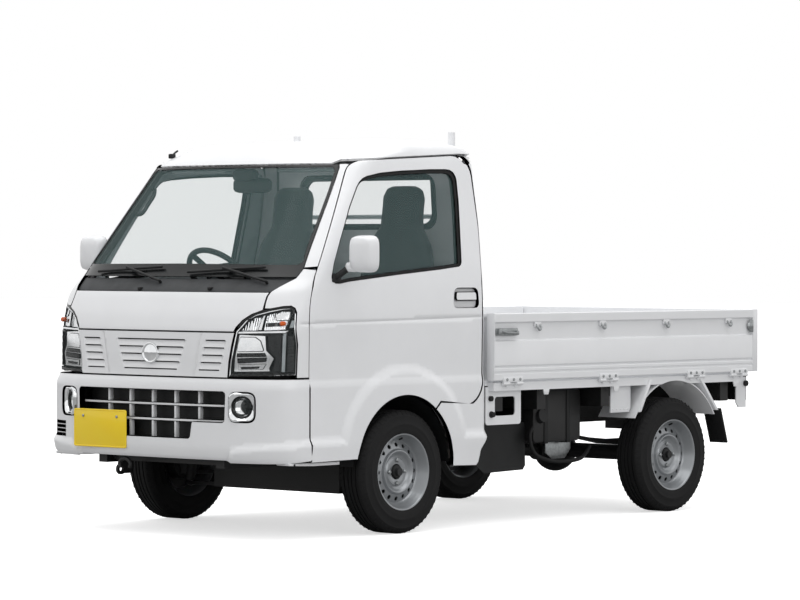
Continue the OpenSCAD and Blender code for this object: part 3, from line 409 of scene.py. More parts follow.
def loft(rings, closed=True, caps=(True, True)):
    """A skin over rings of equally many points."""
    n = len(rings[0])
    points = np.concatenate([np.asarray(r, float) for r in rings])
    last = n if closed else n - 1
    faces = [(k * n + i, k * n + (i + 1) % n, (k + 1) * n + (i + 1) % n, (k + 1) * n + i)
             for k in range(len(rings) - 1) for i in range(last)]
    if caps[0]:
        faces.append(tuple(range(n - 1, -1, -1)))
    if caps[1]:
        faces.append(tuple(range((len(rings) - 1) * n, len(rings) * n)))
    return points, faces


def lathe(profile, steps=64, wrap=True):
    """Turns a profile of (radius, distance along Y) round the Y axis.

    wrap joins its last point to its first.
    """
    rings = [[(r * math.sin(a), y, r * math.cos(a)) for a in np.linspace(0, math.tau, steps, endpoint=False)]
             for r, y in profile]
    if wrap:
        rings.append(rings[0])
    points, faces = loft(rings, caps=(False, False))
    if wrap:
        n = steps * len(profile)
        points, faces = points[:n], [tuple(i % n for i in f) for f in faces]
    return softened(points, faces, 0)


def tube(path, radius, sides=10, ends=True):
    """A round tube along a path of points; radius is one number or one for each point."""
    path = [Vector(p) for p in path]
    radii = radius if hasattr(radius, "__len__") else [radius] * len(path)
    rings, normal = [], None
    for i, p in enumerate(path):
        ahead = (path[min(i + 1, len(path) - 1)] - path[max(i - 1, 0)]).normalized()
        if normal is None:
            normal = ahead.orthogonal().normalized()
        normal = (normal - ahead * normal.dot(ahead)).normalized()
        other = ahead.cross(normal)
        rings.append([p + radii[i] * (math.cos(a) * normal + math.sin(a) * other)
                      for a in np.linspace(0, math.tau, sides, endpoint=False)])
    points, faces = loft(rings, caps=(ends, ends))
    return softened(points, faces, 0)


def curve_through(points, steps=8):
    """A smooth path through a few points."""
    p = [Vector(points[0]), *map(Vector, points), Vector(points[-1])]
    path = []
    for a, b, c, d in zip(p, p[1:], p[2:], p[3:]):
        for t in np.linspace(0, 1, steps, endpoint=False):
            path.append(0.5 * ((2 * b) + (c - a) * t + (2 * a - 5 * b + 4 * c - d) * t**2
                               + (3 * b - a - 3 * c + d) * t**3))
    return path + [p[-1]]


def rounded(corners, steps=6):
    """Rounds an outline whose corners are (x, y, radius)."""
    outline = []
    for i, (x, y, r) in enumerate(corners):
        c = np.array((x, y), float)
        if r == 0:
            outline.append(tuple(c))
            continue
        a, b = (np.array(corners[(i + k) % len(corners)][:2], float) - c for k in (-1, 1))
        a, b = a / np.linalg.norm(a), b / np.linalg.norm(b)
        half = math.acos(np.clip(a @ b, -1, 1)) / 2
        m = c + (a + b) / np.linalg.norm(a + b) * r / math.sin(half)
        s, e = c + a * r / math.tan(half) - m, c + b * r / math.tan(half) - m
        start, turn = math.atan2(s[1], s[0]), math.atan2(e[1], e[0]) - math.atan2(s[1], s[0])
        turn = (turn + math.pi) % math.tau - math.pi
        outline += [tuple(m + r * np.array((math.cos(start + turn * k / steps),
                                            math.sin(start + turn * k / steps))))
                    for k in range(steps + 1)]
    return outline


def arc(cx, cy, r, start, stop, steps=24):
    """Points on a circle between two angles in degrees."""
    return [(cx + r * math.cos(a), cy + r * math.sin(a)) for a in np.radians(np.linspace(start, stop,
                                                                                         steps + 1))]


print("workshop tools ready")

# %% [markdown]
# ## The cab's surface
# The cab's pressed skin is one surface that the doors, lamps and glass are cut out of. Seen
# from above it is a blunt nose, two flat sides and two tight rear corners, and a few rules
# say how far forward and how wide it is at each height. A panel drawn on that surface lines
# up with its neighbours, because they share it, as they did on the clay model.

# %% Rules for the cab's front, width and back
def monotone(rows):
    """A smooth rule through rows of (place, value) that never overshoots them."""
    xs, ys = (np.array(c, float) for c in zip(*rows))
    h, d = np.diff(xs), np.diff(ys) / np.diff(xs)
    slope = np.concatenate([d[:1], np.zeros(len(xs) - 2), d[-1:]])
    same = d[:-1] * d[1:] > 0
    w1, w2 = 2 * h[1:] + h[:-1], h[1:] + 2 * h[:-1]
    slope[1:-1][same] = ((w1 + w2)[same] / (w1[same] / d[:-1][same] + w2[same] / d[1:][same]))

    def rule(x):
        x = np.asarray(x, float)
        i = np.clip(np.searchsorted(xs, x) - 1, 0, len(h) - 1)
        t = (np.clip(x, xs[0], xs[-1]) - xs[i]) / h[i]
        return ((2 * t**3 - 3 * t**2 + 1) * ys[i] + (t**3 - 2 * t**2 + t) * h[i] * slope[i]
                + (3 * t**2 - 2 * t**3) * ys[i + 1] + (t**3 - t**2) * h[i] * slope[i + 1])

    return rule


FRONT = monotone([(276, 788), (318, 806), (335, 815), (352, 830), (400, 838), (640, 838),
                  (655, 836), (684, 823), (700, 822), (790, 821), (880, 819), (930, 808),
                  (1000, 780), (1052, 752), (1112, 688), (1200, 619), (1360, 494), (1540, 353),
                  (1600, 306), (1640, 264), (1670, 222), (1687, 190), (1694, 120), (1703, 10),
                  (1712, -102), (1720, -230), (1726, -380), (1729, -425)])
HALF = monotone([(276, 724), (335, 726), (420, 730), (645, 730), (655, 729), (684, 724),
                 (930, 726), (1052, 720), (1112, 715), (1300, 688), (1500, 656), (1600, 640),
                 (1640, 631), (1670, 619), (1690, 600), (1700, 570), (1708, 520), (1716, 430),
                 (1722, 320), (1726, 180), (1729, 2)])
REAR = monotone([(276, 552), (1109, 552), (1380, 566), (1640, 566), (1670, 570), (1683, 566),
                 (1696, 547), (1706, 528), (1716, 505), (1722, 485), (1726, 465), (1729, 430)])
NOSE = 240
CORNER = 40
NOSE_SPAN = 600
SIDE_U = NOSE_SPAN * math.pi / 2
# Above the windshield the nose grows longer and rounder, and above the doors so do the corners.
ROOF_START, NOSE_RISE, NOSE_EXTRA = 1612, 130, 420
CORNER_START, CORNER_RISE, CORNER_EXTRA = 1656, 80, 170
ROUNDING_RISE = 110
ROOF_CROWN = 1726.5


def nose_depth(z):
    grown = NOSE + NOSE_EXTRA * np.clip((z - ROOF_START) / NOSE_RISE, 0, 1)
    return np.minimum(grown, 0.5 * (FRONT(z) + REAR(z)))


def corner_r(z):
    flat = np.minimum(0.45 * HALF(z), 0.4 * (FRONT(z) + REAR(z)))
    return np.minimum(CORNER + CORNER_EXTRA * np.clip((z - CORNER_START) / CORNER_RISE, 0, 1), flat)


def squareness(z):
    """3 is a blunt nose, 2 is a plain ellipse; the crown of the roof is rounder than the walls."""
    return 3 - np.clip((z - ROOF_START) / ROUNDING_RISE, 0, 1)


def skin(u, z):
    """A point on the cab. u runs round it from the middle of the front, positive on the left."""
    u, z = np.broadcast_arrays(np.asarray(u, float), np.asarray(z, float))
    away, front, half, rear, nose = np.abs(u), FRONT(z), HALF(z), REAR(z), nose_depth(z)
    round_r, power = corner_r(z), squareness(z)
    phi = np.minimum(away / NOSE_SPAN, math.pi / 2)
    reach = (np.cos(phi) ** power + np.sin(phi) ** power) ** (-1 / power)
    x = front - nose + nose * reach * np.cos(phi) - np.maximum(away - SIDE_U, 0)
    y = half * reach * np.sin(phi)
    past = np.maximum(round_r - rear - x, 0)
    theta = np.minimum(past / round_r, math.pi / 2)
    x = np.where(past > 0, round_r - rear - round_r * np.sin(theta), x)
    straight = np.maximum(past - round_r * math.pi / 2, 0)
    y = np.where(past > 0, half - round_r + round_r * np.cos(theta) - straight, y)
    return np.stack([x, np.sign(u) * y, z], -1)


def u_at_y(y, z):
    share = np.minimum(np.abs(y) / HALF(z), 1)
    return np.sign(y) * NOSE_SPAN * np.arctan2(share, np.cbrt(1 - share**3))


def u_at_x(x, z):
    start = FRONT(z) - nose_depth(z)
    share = np.clip((x - start) / nose_depth(z), 0, 1)
    return np.where(x < start, SIDE_U + start - x, NOSE_SPAN * np.arctan2(np.cbrt(1 - share**3), share))


print("cab nose at z 500:", skin(0, 500).round(1), "side:", skin(u_at_x(0, 500), 500).round(1))

# %% [markdown]
# The side is not plain. A ledge at the skirt runs into the raised flare round each front
# wheel, and a fine groove below the windows runs along the door. Each is a rule for how
# far the metal stands in or out, so every panel that it crosses carries it.

# %% Raised features
ARCH_R = 308
ARCH_Z = 290
FLARE_R = 443
FLARE_LEDGE = 36
SKIRT = monotone([(330, 318), (358, 348), (381, 389), (416, 402), (700, 420), (SIDE_U, 430), (3000, 430)])
SKIRT_LEDGE = 24
RAISED = 14
BELT_STEP = 4


def belt_z(x):
    return 916 + (636 - x) * 0.0155


def ramp(distance, width):
    return np.clip(distance / width, 0, 1)


def body_relief(u, z):
    """How far the metal stands out from the plain skin."""
    x = skin(u, z)[..., 0]
    from_axle = np.hypot(x, z - ARCH_Z)
    narrow = 26 * np.clip(np.abs(x) / np.maximum(from_axle, 1), 0, 1) ** 8
    on_side = np.abs(u) > 600
    flare = np.where(on_side, ramp(FLARE_R - narrow - from_axle, FLARE_LEDGE), 0)
    skirt = ramp(SKIRT(np.abs(u)) - z, SKIRT_LEDGE)
    groove = np.where(on_side, ramp(4 - np.abs(z - belt_z(x)), 4) * ramp(650 - x, 20), 0)
    return RAISED * np.maximum(flare, skirt) - BELT_STEP * groove


# %% [markdown]
# ## A pressed panel
# Sheet metal can be modelled by bending a flat sheet, by sculpting, or by cutting a drawn
# outline and laying it on the surface. The last is closest to how a panel is trimmed. The
# outline, its holes and its crease lines are filled with triangles, laid on the surface and
# given a hemmed edge and an inner face. The normals come from the surface itself, so the
# gloss stays even right up to the edge.

# %% Outlines laid on the cab
def dense(line, step, closed=False):
    line = [np.array(p, float) for p in line]
    pairs = zip(line, line[1:] + line[:1]) if closed else zip(line, line[1:])
    fine = []
    for a, b in pairs:
        count = max(1, int(np.ceil(np.linalg.norm(b - a) / step)))
        fine += [a + (b - a) * k / count for k in range(count)]
    return fine if closed else fine + [line[-1]]


def side_line(line, step=14):
    """Points (x, z) drawn on the left side, as points (u, z) of the skin."""
    return [(float(u_at_x(x, z)), z) for x, z in dense(line, step)]


def front_line(line, step=14):
    """Points (y, z) drawn on the front, as points (u, z) of the skin."""
    return [(float(u_at_y(y, z)), z) for y, z in dense(line, step)]


def shrink(line, distance):
    """A closed outline moved inwards by a distance."""
    p = np.array(line, float)
    p = p[np.linalg.norm(p - np.roll(p, 1, 0), axis=1) > 1e-6]
    if np.sum(p[:, 0] * np.roll(p[:, 1], -1) - np.roll(p[:, 0], -1) * p[:, 1]) < 0:
        p = p[::-1]
    ahead = np.roll(p, -1, 0) - p
    ahead /= np.linalg.norm(ahead, axis=1)[:, None]
    left = np.stack([-ahead[:, 1], ahead[:, 0]], 1)
    before = np.roll(left, 1, 0)
    lean = (left + before) / np.maximum(1 + (left * before).sum(1), 0.35)[:, None]
    return p + distance * lean


def inside(points, ring):
    x, y = points[:, 0], points[:, 1]
    odd = np.zeros(len(points), bool)
    for (x0, y0), (x1, y1) in zip(ring, np.roll(ring, -1, 0)):
        if y0 != y1:
            odd ^= ((y0 > y) != (y1 > y)) & (x < (x1 - x0) * (y - y0) / (y1 - y0) + x0)
    return odd


def filled(rings, creases, step):
    """Triangles that fill the first ring, leave out the others and follow the creases."""
    low, high = rings[0].min(0), rings[0].max(0)
    grid = np.stack(np.meshgrid(np.arange(low[0], high[0], step), np.arange(low[1], high[1], step)),
                    -1).reshape(-1, 2)
    lines = [*rings, *(np.array(c, float) for c in creases)]
    near = np.concatenate(lines)
    keep = inside(grid, rings[0])
    for hole in rings[1:]:
        keep &= ~inside(grid, hole)
    grid = grid[keep]
    far = [np.min(np.linalg.norm(near - p, axis=1)) > 0.5 * step for p in grid]
    coords, edges = [], []
    for k, line in enumerate(lines):
        n, start = len(line), len(coords)
        coords += [Vector(p) for p in line]
        edges += [(start + i, start + (i + 1) % n) for i in range(n if k < len(rings) else n - 1)]
    coords += [Vector(p) for p in grid[far]] if len(grid) else []
    points, _, faces, *_ = delaunay_2d_cdt(coords, edges, [], 0, 1e-3)
    points = np.array(points, float)
    faces = np.array(faces)
    centres = points[faces].mean(1)
    keep = inside(centres, rings[0])
    for hole in rings[1:]:
        keep &= ~inside(centres, hole)
    faces = faces[keep]
    used = np.unique(faces)
    order = -np.ones(len(points), int)
    order[used] = np.arange(len(used))
    return points[used], order[faces]


# %% The panel tool
def surface_frame(surface, relief, u, z, sink):
    """Points on a surface, their outward normals and their directions along u and z."""
    e = 1.0

    def bare(a, b):
        return surface(a, b)

    def lifted(a, b):
        along_u, along_z = bare(a + e, b) - bare(a - e, b), bare(a, b + e) - bare(a, b - e)
        out = np.cross(along_u, along_z)
        out /= np.linalg.norm(out, axis=1)[:, None]
        return bare(a, b) + out * (relief(a, b) - sink)[:, None]

    points = lifted(u, z)
    along_u = lifted(u + e, z) - lifted(u - e, z)
    along_z = lifted(u, z + e) - lifted(u, z - e)
    normals = np.cross(along_u, along_z)
    return points, normals / np.linalg.norm(normals, axis=1)[:, None], along_u, along_z


def flat_relief(u, z):
    return np.zeros(len(u))


def panel(outline, holes=(), creases=(), relief=body_relief, sink=0.0, gap=1.3, edge=2.5, depth=14.0,
          step=14, surface=skin):
    """A pressed panel: outline and holes are closed lines (u, z), gap is half the seam to the next panel."""
    rings = [shrink(outline, gap + edge)] + [shrink(h, -edge) for h in holes]
    flat, faces = filled(rings, creases, step)
    points, normals, along_u, along_z = surface_frame(surface, relief, flat[:, 0], flat[:, 1], sink)
    a, b, c = (flat[faces[:, k]] for k in range(3))
    turn = (b[:, 0] - a[:, 0]) * (c[:, 1] - a[:, 1]) - (b[:, 1] - a[:, 1]) * (c[:, 0] - a[:, 0])
    faces = np.where((turn > 0)[:, None], faces, faces[:, ::-1])
    directed = {(f[i], f[(i + 1) % 3]) for f in faces.tolist() for i in range(3)}
    border = [(i, j) for i, j in directed if (j, i) not in directed]
    rim = sorted({i for e in border for i in e})
    place = {v: k for k, v in enumerate(rim)}
    outward = np.zeros((len(rim), 3))
    for i, j in border:
        d = flat[j] - flat[i]
        way = along_u[i] * d[0] + along_z[i] * d[1]
        out = np.cross(way / np.linalg.norm(way), normals[i])
        outward[place[i]] += out
        outward[place[j]] += out
    outward /= np.linalg.norm(outward, axis=1)[:, None]
    base, up = points[rim], normals[rim]
    layers, layer_normals = [], []
    for angle in np.radians((30, 60, 90)):
        layers.append(base + outward * edge * math.sin(angle) - up * edge * (1 - math.cos(angle)))
        layer_normals.append(up * math.cos(angle) + outward * math.sin(angle))
    layers += [base + outward * edge - up * depth] * 2
    layer_normals += [outward, -up]
    n, m = len(points), len(rim)
    all_points = np.concatenate([points, *layers, points - normals * depth])
    all_normals = np.concatenate([normals, *layer_normals, -normals])
    inner = n + m * len(layers)
    all_faces = [tuple(f) for f in faces.tolist()]
    all_faces += [tuple(i + inner for i in reversed(f)) for f in faces.tolist()]
    for i, j in border:
        a, b = place[i], place[j]
        chain_i = [i] + [n + k * m + a for k in range(4)]
        chain_j = [j] + [n + k * m + b for k in range(4)]
        all_faces += [(p, r, s, q) for p, q, r, s in zip(chain_j, chain_i, chain_j[1:], chain_i[1:])]
        last_i, last_j = n + 4 * m + a, n + 4 * m + b
        all_faces.append((last_j, j + inner, i + inner, last_i))
    return all_points, all_faces, all_normals


def both_ways(half_line):
    """A line (y, z) from the middle outwards and its mirror image, as one closed outline."""
    return [*half_line, *[(-y, z) for y, z in reversed(half_line)]]


print("panel tool ready")

# %% [markdown]
# ## Light, floor and background
# A studio for a vehicle is a very large soft lamp overhead and pale walls all round, so
# that white paint shows its shape by slow changes of grey and not by hard shadows. Here
# the world is the walls, one wide lamp is the ceiling and another fills the near side.

# %% Studio
def area_lamp(name, at, target, size, watts):
    lamp = bpy.data.lights.new(name, "AREA")
    lamp.shape, lamp.size, lamp.size_y, lamp.energy = "RECTANGLE", size[0], size[1], watts
    made = bpy.data.objects.new(name, lamp)
    made.matrix_world = (Matrix.Translation(at)
                         @ (Vector(target) - Vector(at)).to_track_quat("-Z", "Y").to_matrix().to_4x4())
    bpy.context.scene.collection.objects.link(made)


WALL_LEVEL = 0.74
area_lamp("ceiling", (0.6, 0.3, 7.5), (0, 0, 0), (9, 8), 330)
area_lamp("left_fill", (3.0, 8.0, 3.2), (0, 0, 0.7), (6, 3), 60)
world = bpy.data.worlds.new("studio")
world.use_nodes = True
bpy.context.scene.world = world
rays = node(world.node_tree, "ShaderNodeLightPath").outputs
seen = rays["Is Camera Ray"]
for other in ("Is Glossy Ray", "Is Transmission Ray"):
    seen = node(world.node_tree, "ShaderNodeMath", {"operation": "MAXIMUM"},
                {0: seen, 1: rays[other]}).outputs[0]
level = node(world.node_tree, "ShaderNodeMapRange", {"To Min": WALL_LEVEL, "To Max": 1.0},
             {"Value": seen}).outputs[0]
world.node_tree.links.new(level, world.node_tree.nodes["Background"].inputs["Strength"])
world.node_tree.nodes["Background"].inputs["Color"].default_value = colour("#FFFFFF")
bpy.context.scene.view_settings.view_transform = "Standard"

# A white paper floor. It looks white to the camera where no shadow falls, but it throws less
# light back up than real paper, so that the underside stays dark.
floor_material, floor_tree, floor_shader = new_material("white_paper_floor", Roughness=0.9)
FLOOR_BOUNCE, FLOOR_GLOW = "#A8A8A8", 0.6
paper_rays = node(floor_tree, "ShaderNodeLightPath").outputs["Is Camera Ray"]
paper = between(floor_tree, object_noise(floor_tree, 900, 2), "#FBFBFB", "#FFFFFF")
floor_tree.links.new(node(floor_tree, "ShaderNodeMix", {"data_type": "RGBA", 6: colour(FLOOR_BOUNCE)},
                          {0: paper_rays, 7: paper}).outputs[2], floor_shader.inputs["Base Color"])
floor_shader.inputs["Emission Color"].default_value = colour("#FFFFFF")
floor_glow = node(floor_tree, "ShaderNodeMath", {"operation": "MULTIPLY", 1: FLOOR_GLOW},
                  {0: paper_rays}).outputs[0]
floor_tree.links.new(floor_glow, floor_shader.inputs["Emission Strength"])
floor_mesh = bpy.data.meshes.new("floor")
floor_mesh.from_pydata([(-60, -60, 0), (60, -60, 0), (60, 60, 0), (-60, 60, 0)], [], [(0, 1, 2, 3)])
floor_mesh.materials.append(floor_material)
floor = bpy.data.objects.new("floor", floor_mesh)
bpy.context.scene.collection.objects.link(floor)
print("studio ready")

# %% [markdown]
# ## Cab panels
# The seams of a pressed cab are where its stampings meet. They are drawn once, as lines on
# the skin, and shared by the panels on both sides of each seam.

# %% Seams
HOOD_SIDE = [(476, 879), (486, 900), (512, 930), (545, 953), (592, 972), (590, 1003), (589, 1032),
             (595, 1052)]
LAMP_EDGE = [(802, 446, 691), (800, 452, 754), (796, 466, 826), (792, 480, 885), (782, 500, 910),
             (769, 528, 942), (751, 564, 961), (724, 619, 976), (693, 664, 987), (669, 688, 989),
             (659, 701, 979), (656, 707, 962), (658, 711, 830), (663, 714, 698)]
WINDSHIELD_SIDE = [(652, 1112), (657, 1150), (639, 1235), (617, 1346), (594, 1462), (568, 1580), (557, 1600)]
BUMPER_TOP = 687
SILL = 334
DOOR_FRONT = 599


def wrapped(points):
    """Measured points (x, y, z) near the nose, as (u, z) on the skin."""
    line = []
    for x, y, z in points:
        depth = float(nose_depth(z))
        start = float(FRONT(z)) - depth
        u = NOSE_SPAN * math.atan2(y / float(HALF(z)), max(x - start, 0) / depth)
        line.append((u + max(start - x, 0), z))
    return line


def back_u(y, z):
    start = FRONT(z) - nose_depth(z)
    return SIDE_U + start + REAR(z) + HALF(z) + corner_r(z) * (math.pi / 2 - 2) - y


DOOR_UPPER = rounded([(597, SILL - 1, 0), (597, 1027, 350), (205, 1614, 110), (-530, 1654, 95),
                      (-544, 1330, 0),
                      (-520, 930, 0), (-518, 566, 115)])
ARCH_FROM, ARCH_TO = 127.6, 8.0
DOOR_LINE = DOOR_UPPER + [(-222, 566)] + arc(0, ARCH_Z, ARCH_R, ARCH_FROM, ARCH_TO, 30)
WINDOW_LINE = [(446, 1121), (424, 1176), (371, 1269), (286, 1410), (222, 1499), (204, 1519), (184, 1534),
               (155, 1545), (70, 1560), (-61, 1571), (-260, 1581), (-360, 1583), (-390, 1580), (-410, 1570),
               (-422, 1553), (-426, 1538), (-424, 1449), (-406, 1272), (-396, 1175), (-390, 1164),
               (-380, 1158),
               (-251, 1145), (14, 1124), (336, 1095), (399, 1086), (425, 1087), (440, 1098), (446, 1110)]
HANDLE_LINE = rounded([(-328, 976, 20), (-496, 976, 20), (-492, 1061, 26), (-338, 1061, 26)], 4)
print("door outline:", len(DOOR_LINE), "points")

# %% [markdown]
# Creases are where the pressed metal turns. A mesh only shows a crisp crease where it has
# points along it, so each crease is handed to the panel tool as a line on the skin.

# %% Crease lines
def flare_lines():
    """The two edges of the flare's ledge, from the skirt round to the skirt, as (u, z)."""
    lines = []
    for inset in (0, FLARE_LEDGE):
        ring = []
        for a in np.radians(np.linspace(14, 166, 60)):
            r = FLARE_R - inset - 26 * abs(math.cos(a)) ** 8
            ring.append((r * math.cos(a), ARCH_Z + r * math.sin(a)))
        lines.append(side_line(ring, 12))
    return lines


def skirt_lines(u0, u1):
    us = np.arange(u0, u1, 14)
    return [[(float(u), float(SKIRT(abs(u))) - drop) for u in us] for drop in (0, SKIRT_LEDGE)]


def belt_lines(x0, x1):
    return [side_line([(x0, belt_z(x0) + lift), (x1, belt_z(x1) + lift)]) for lift in (-4, 0, 4)]


def level_lines(zs, u0, u1):
    return [[(float(u), z) for u in np.arange(u0, u1, 14)] for z in zs]


def within(line, ring):
    """The longest run of a line's points that lies inside a ring and clear of its edge."""
    ring = np.array(ring)
    inner = inside(np.array(line), ring)
    near = [np.min(np.linalg.norm(ring - p, axis=1)) > 5 for p in np.array(line)]
    best, run = [], []
    for p, ok in zip(line, inner & near):
        run = run + [p] if ok else []
        best = run if len(run) > len(best) else best
    return best


def creased(outline, holes, lines):
    """Crease lines trimmed to a panel's outline and kept clear of its holes."""
    ring = shrink(outline, 6)
    kept = []
    for line in lines:
        line = within(line, ring)
        for hole in holes:
            clear = ~inside(np.array(line), shrink(hole, -8)) if line else np.zeros(0, bool)
            best, run = [], []
            for p, ok in zip(line, clear):
                run = run + [p] if ok else []
                best = run if len(run) > len(best) else best
            line = best
        if len(line) > 2:
            kept.append(line)
    return kept


FLARES = flare_lines()
print("flare crease:", len(FLARES[0]), "points")

# %% Doors
door_outline = side_line(DOOR_LINE, 12)
window_hole = side_line(WINDOW_LINE, 12)
handle_hole = side_line(HANDLE_LINE, 12)
door_creases = creased(door_outline, [window_hole, handle_hole],
                       FLARES + skirt_lines(700, 2200) + belt_lines(590, -520)
                       + level_lines((655, 684), 700, 2200))
door_skin = panel(door_outline, [window_hole, handle_hole], door_creases, depth=20, gap=2.2)
door_card = panel(side_line(DOOR_LINE, 20), [window_hole], sink=32, depth=10, gap=26, relief=flat_relief,
                  step=40)
window_seal_inner = [tuple(p) for p in shrink(window_hole, 15)]
window_seal = panel(window_hole, [window_seal_inner], sink=5, gap=-3, edge=1.5, depth=10, relief=flat_relief)
window_pane = panel(window_hole, sink=9, gap=6, edge=1, depth=4, relief=flat_relief, step=40)
handle_bowl = panel(handle_hole, sink=17, gap=-4, edge=1, depth=2, relief=flat_relief)
lever_line = side_line(rounded([(-342, 1006, 10), (-484, 1006, 10), (-482, 1046, 12), (-346, 1046, 12)], 4),
                       10)
lever = panel(lever_line, sink=-2, gap=0, edge=4, depth=9, relief=flat_relief)
print("door triangles:", len(door_skin[1]))

# %% [markdown]
# A door mirror on a work truck is a white shell over a black foot, held off the door so
# that the driver sees past the load bed. The shell is lofted through a few rounded
# rectangles, because its sides are all curved.

# %% Mirrors and door pieces
def rounded_box_ring(centre, half_y, half_z, x, power=4.6, steps=36):
    """A superellipse in the plane of x."""
    ring = []
    for a in np.linspace(0, math.tau, steps, endpoint=False):
        c, s = math.cos(a), math.sin(a)
        r = (abs(c) ** power + abs(s) ** power) ** (-1 / power)
        ring.append((x, centre[0] + half_y * r * c, centre[1] + half_z * r * s))
    return ring


MIRROR_AT = (831, 1211)
mirror_rings = [rounded_box_ring(MIRROR_AT, hy, hz, x) for x, hy, hz in
                ((412, 30, 38), (407, 52, 62), (396, 63, 73), (378, 68, 77), (362, 70, 79), (352, 69, 78))]
mirror_head = softened(*loft(mirror_rings), 0)
mirror_face = softened(*loft([rounded_box_ring(MIRROR_AT, 63, 73, 351.5),
                              rounded_box_ring(MIRROR_AT, 62, 72, 349)]), 0)
mirror_rim = softened(*loft([rounded_box_ring(MIRROR_AT, 69, 78, 353),
                             rounded_box_ring(MIRROR_AT, 69, 78, 350),
                             rounded_box_ring(MIRROR_AT, 64, 74, 349.5),
                             rounded_box_ring(MIRROR_AT, 64, 74, 353)],
                            caps=(False, False)), 0)
mirror_lobe = block((356, 742, 1134), (402, 800, 1176), 15, 3)
mirror_arm = tube(curve_through([(424, 712, 1110), (412, 728, 1122), (396, 744, 1140), (384, 756, 1150)], 5),
                  14)
mirror_foot = pushed(rounded([(392, 1090, 8), (452, 1090, 8), (440, 1124, 10), (398, 1130, 10)], 4), 704, 722,
                     "y", 3)

for side, flip in (("left", lambda shape: shape), ("right", mirrored)):
    body = "door_" + side
    Piece("door_shell_" + side, body, "body_paint", body).add(flip(door_skin), WHITE_ENAMEL) \
        .add(flip(door_card), TRIM_PLASTIC).add(flip(handle_bowl), WHITE_ENAMEL) \
        .add(flip(lever), WHITE_ENAMEL).add(flip(window_seal), RUBBER).make()
    Piece("door_window_" + side, body, "clear_glass", "door_glass_" + side).add(flip(window_pane),
                                                                                WINDOW_GLASS).make()
    Piece("door_mirror_" + side, body, "body_paint", "mirror_" + side).add(flip(mirror_head), WHITE_ENAMEL) \
        .add(flip(mirror_lobe), WHITE_ENAMEL) \
        .add(flip(mirror_rim), BLACK_PLASTIC).add(flip(mirror_face), CHROME) \
        .add(flip(mirror_arm), BLACK_PLASTIC).add(flip(mirror_foot), BLACK_PLASTIC).make()

# %% [markdown]
# The front fender is a small panel between the lamp and the door, and the windshield
# pillar above it is a narrow one. Behind the door the quarter panel turns the cab's rear
# corner. All three are mirrored, as their stampings are.

# %% Fenders, pillars and quarters
lamp_line = wrapped(LAMP_EDGE)
lamp_outline = dense(lamp_line, 10, closed=True)
PILLAR_SEAM = 1150
door_front_up = [tuple(p) for p in dense(DOOR_UPPER, 12) if p[0] > 0 and BUMPER_TOP < p[1] < 1600]
door_front_up = sorted(door_front_up, key=lambda p: p[1])
fender_door = [(DOOR_FRONT, BUMPER_TOP)] + [p for p in door_front_up if p[1] < PILLAR_SEAM]
pillar_door = [p for p in door_front_up if p[1] >= PILLAR_SEAM]
hood_side_up = [(594, 978), (590, 1003), (589, 1032), (595, 1052), (652, 1110), (657, PILLAR_SEAM)]
fender_outline = dense(side_line(fender_door), 12) + dense(front_line(list(reversed(hood_side_up)), 10), 12)
fender_outline += wrapped([(724, 619, 978), (693, 664, 988), (669, 688, 990), (658, 702, 980),
                           (655, 708, 962),
                           (657, 712, 830), (662, 715, 700), (663, 715, BUMPER_TOP)])
fender = panel(dense(fender_outline, 12, closed=True), creases=creased(fender_outline, [],
                                                                       belt_lines(655, 580)), depth=16)
pillar_outline = (side_line(pillar_door, 12) + side_line([(215, 1602)], 12)
                  + front_line(list(reversed(WINDSHIELD_SIDE[1:])), 12))
pillar = panel(dense(pillar_outline, 12, closed=True), depth=16, gap=1.2)

quarter_side = ([(-308, 282), (-306, ARCH_Z)] + arc(0, ARCH_Z, ARCH_R, 178, ARCH_FROM, 14)[1:]
                + [(-222, 566)] + list(reversed([p for p in DOOR_UPPER if p[0] < -440 and p[1] < 1652])))
ROOF_SEAM = 1654
quarter_top = [(-500, ROOF_SEAM - 2)]
quarter_back = [(float(back_u(560, z)), z) for z in np.linspace(ROOF_SEAM - 2, 432, 60)]
quarter_low = side_line([(-549, 431), (-539, 400), (-500, 348), (-482, 291), (-468, 276), (-309, 280)], 12)
quarter_outline = side_line(quarter_side, 12) + side_line(quarter_top) + quarter_back + quarter_low
quarter = panel(quarter_outline, creases=creased(quarter_outline, [], FLARES + skirt_lines(1800, 2200)
                                                 + belt_lines(-520, -560) + level_lines((655, 684), 1500,
                                                                                        2400)),
                depth=18, gap=2)

# Inner pillars, seen through the glass, and the arch lining round each front wheel.
pillar_lining = panel(dense(pillar_outline, 14, closed=True), sink=20, depth=16, gap=-6, relief=flat_relief)
arch_rings = [[(ARCH_R * math.cos(a), y,
                ARCH_Z + ARCH_R * math.sin(a)) for a in np.radians(np.linspace(2, 178, 40))]
              for y in (712, 700, 560, 430)]
arch_lining = softened(*loft([[*r] for r in arch_rings], closed=False, caps=(False, False)), 0)
arch_wall = loft([[(r * math.cos(a), 430,
                    ARCH_Z + r * math.sin(a)) for a in np.radians(np.linspace(2, 178, 40))]
                  for r in (ARCH_R, 150)], closed=False, caps=(False, False))
Piece("front_fenders_and_pillars", "chassis", "body_paint", "front_pillars").add_both(fender, WHITE_ENAMEL) \
    .add_both(pillar, WHITE_ENAMEL).add_both(pillar_lining, TRIM_PLASTIC).make()
Piece("rear_quarter_panels", "chassis", "body_paint", "rear_quarters").add_both(quarter, WHITE_ENAMEL).make()
Piece("wheel_arch_linings", "chassis", "black_plastic").add_both(arch_lining, BLACK_PLASTIC) \
    .add_both(arch_wall, BLACK_PLASTIC).make()

# %% [markdown]
# The hood here is a short access flap under the windshield. It is one plain pressing, so
# one outline is enough.

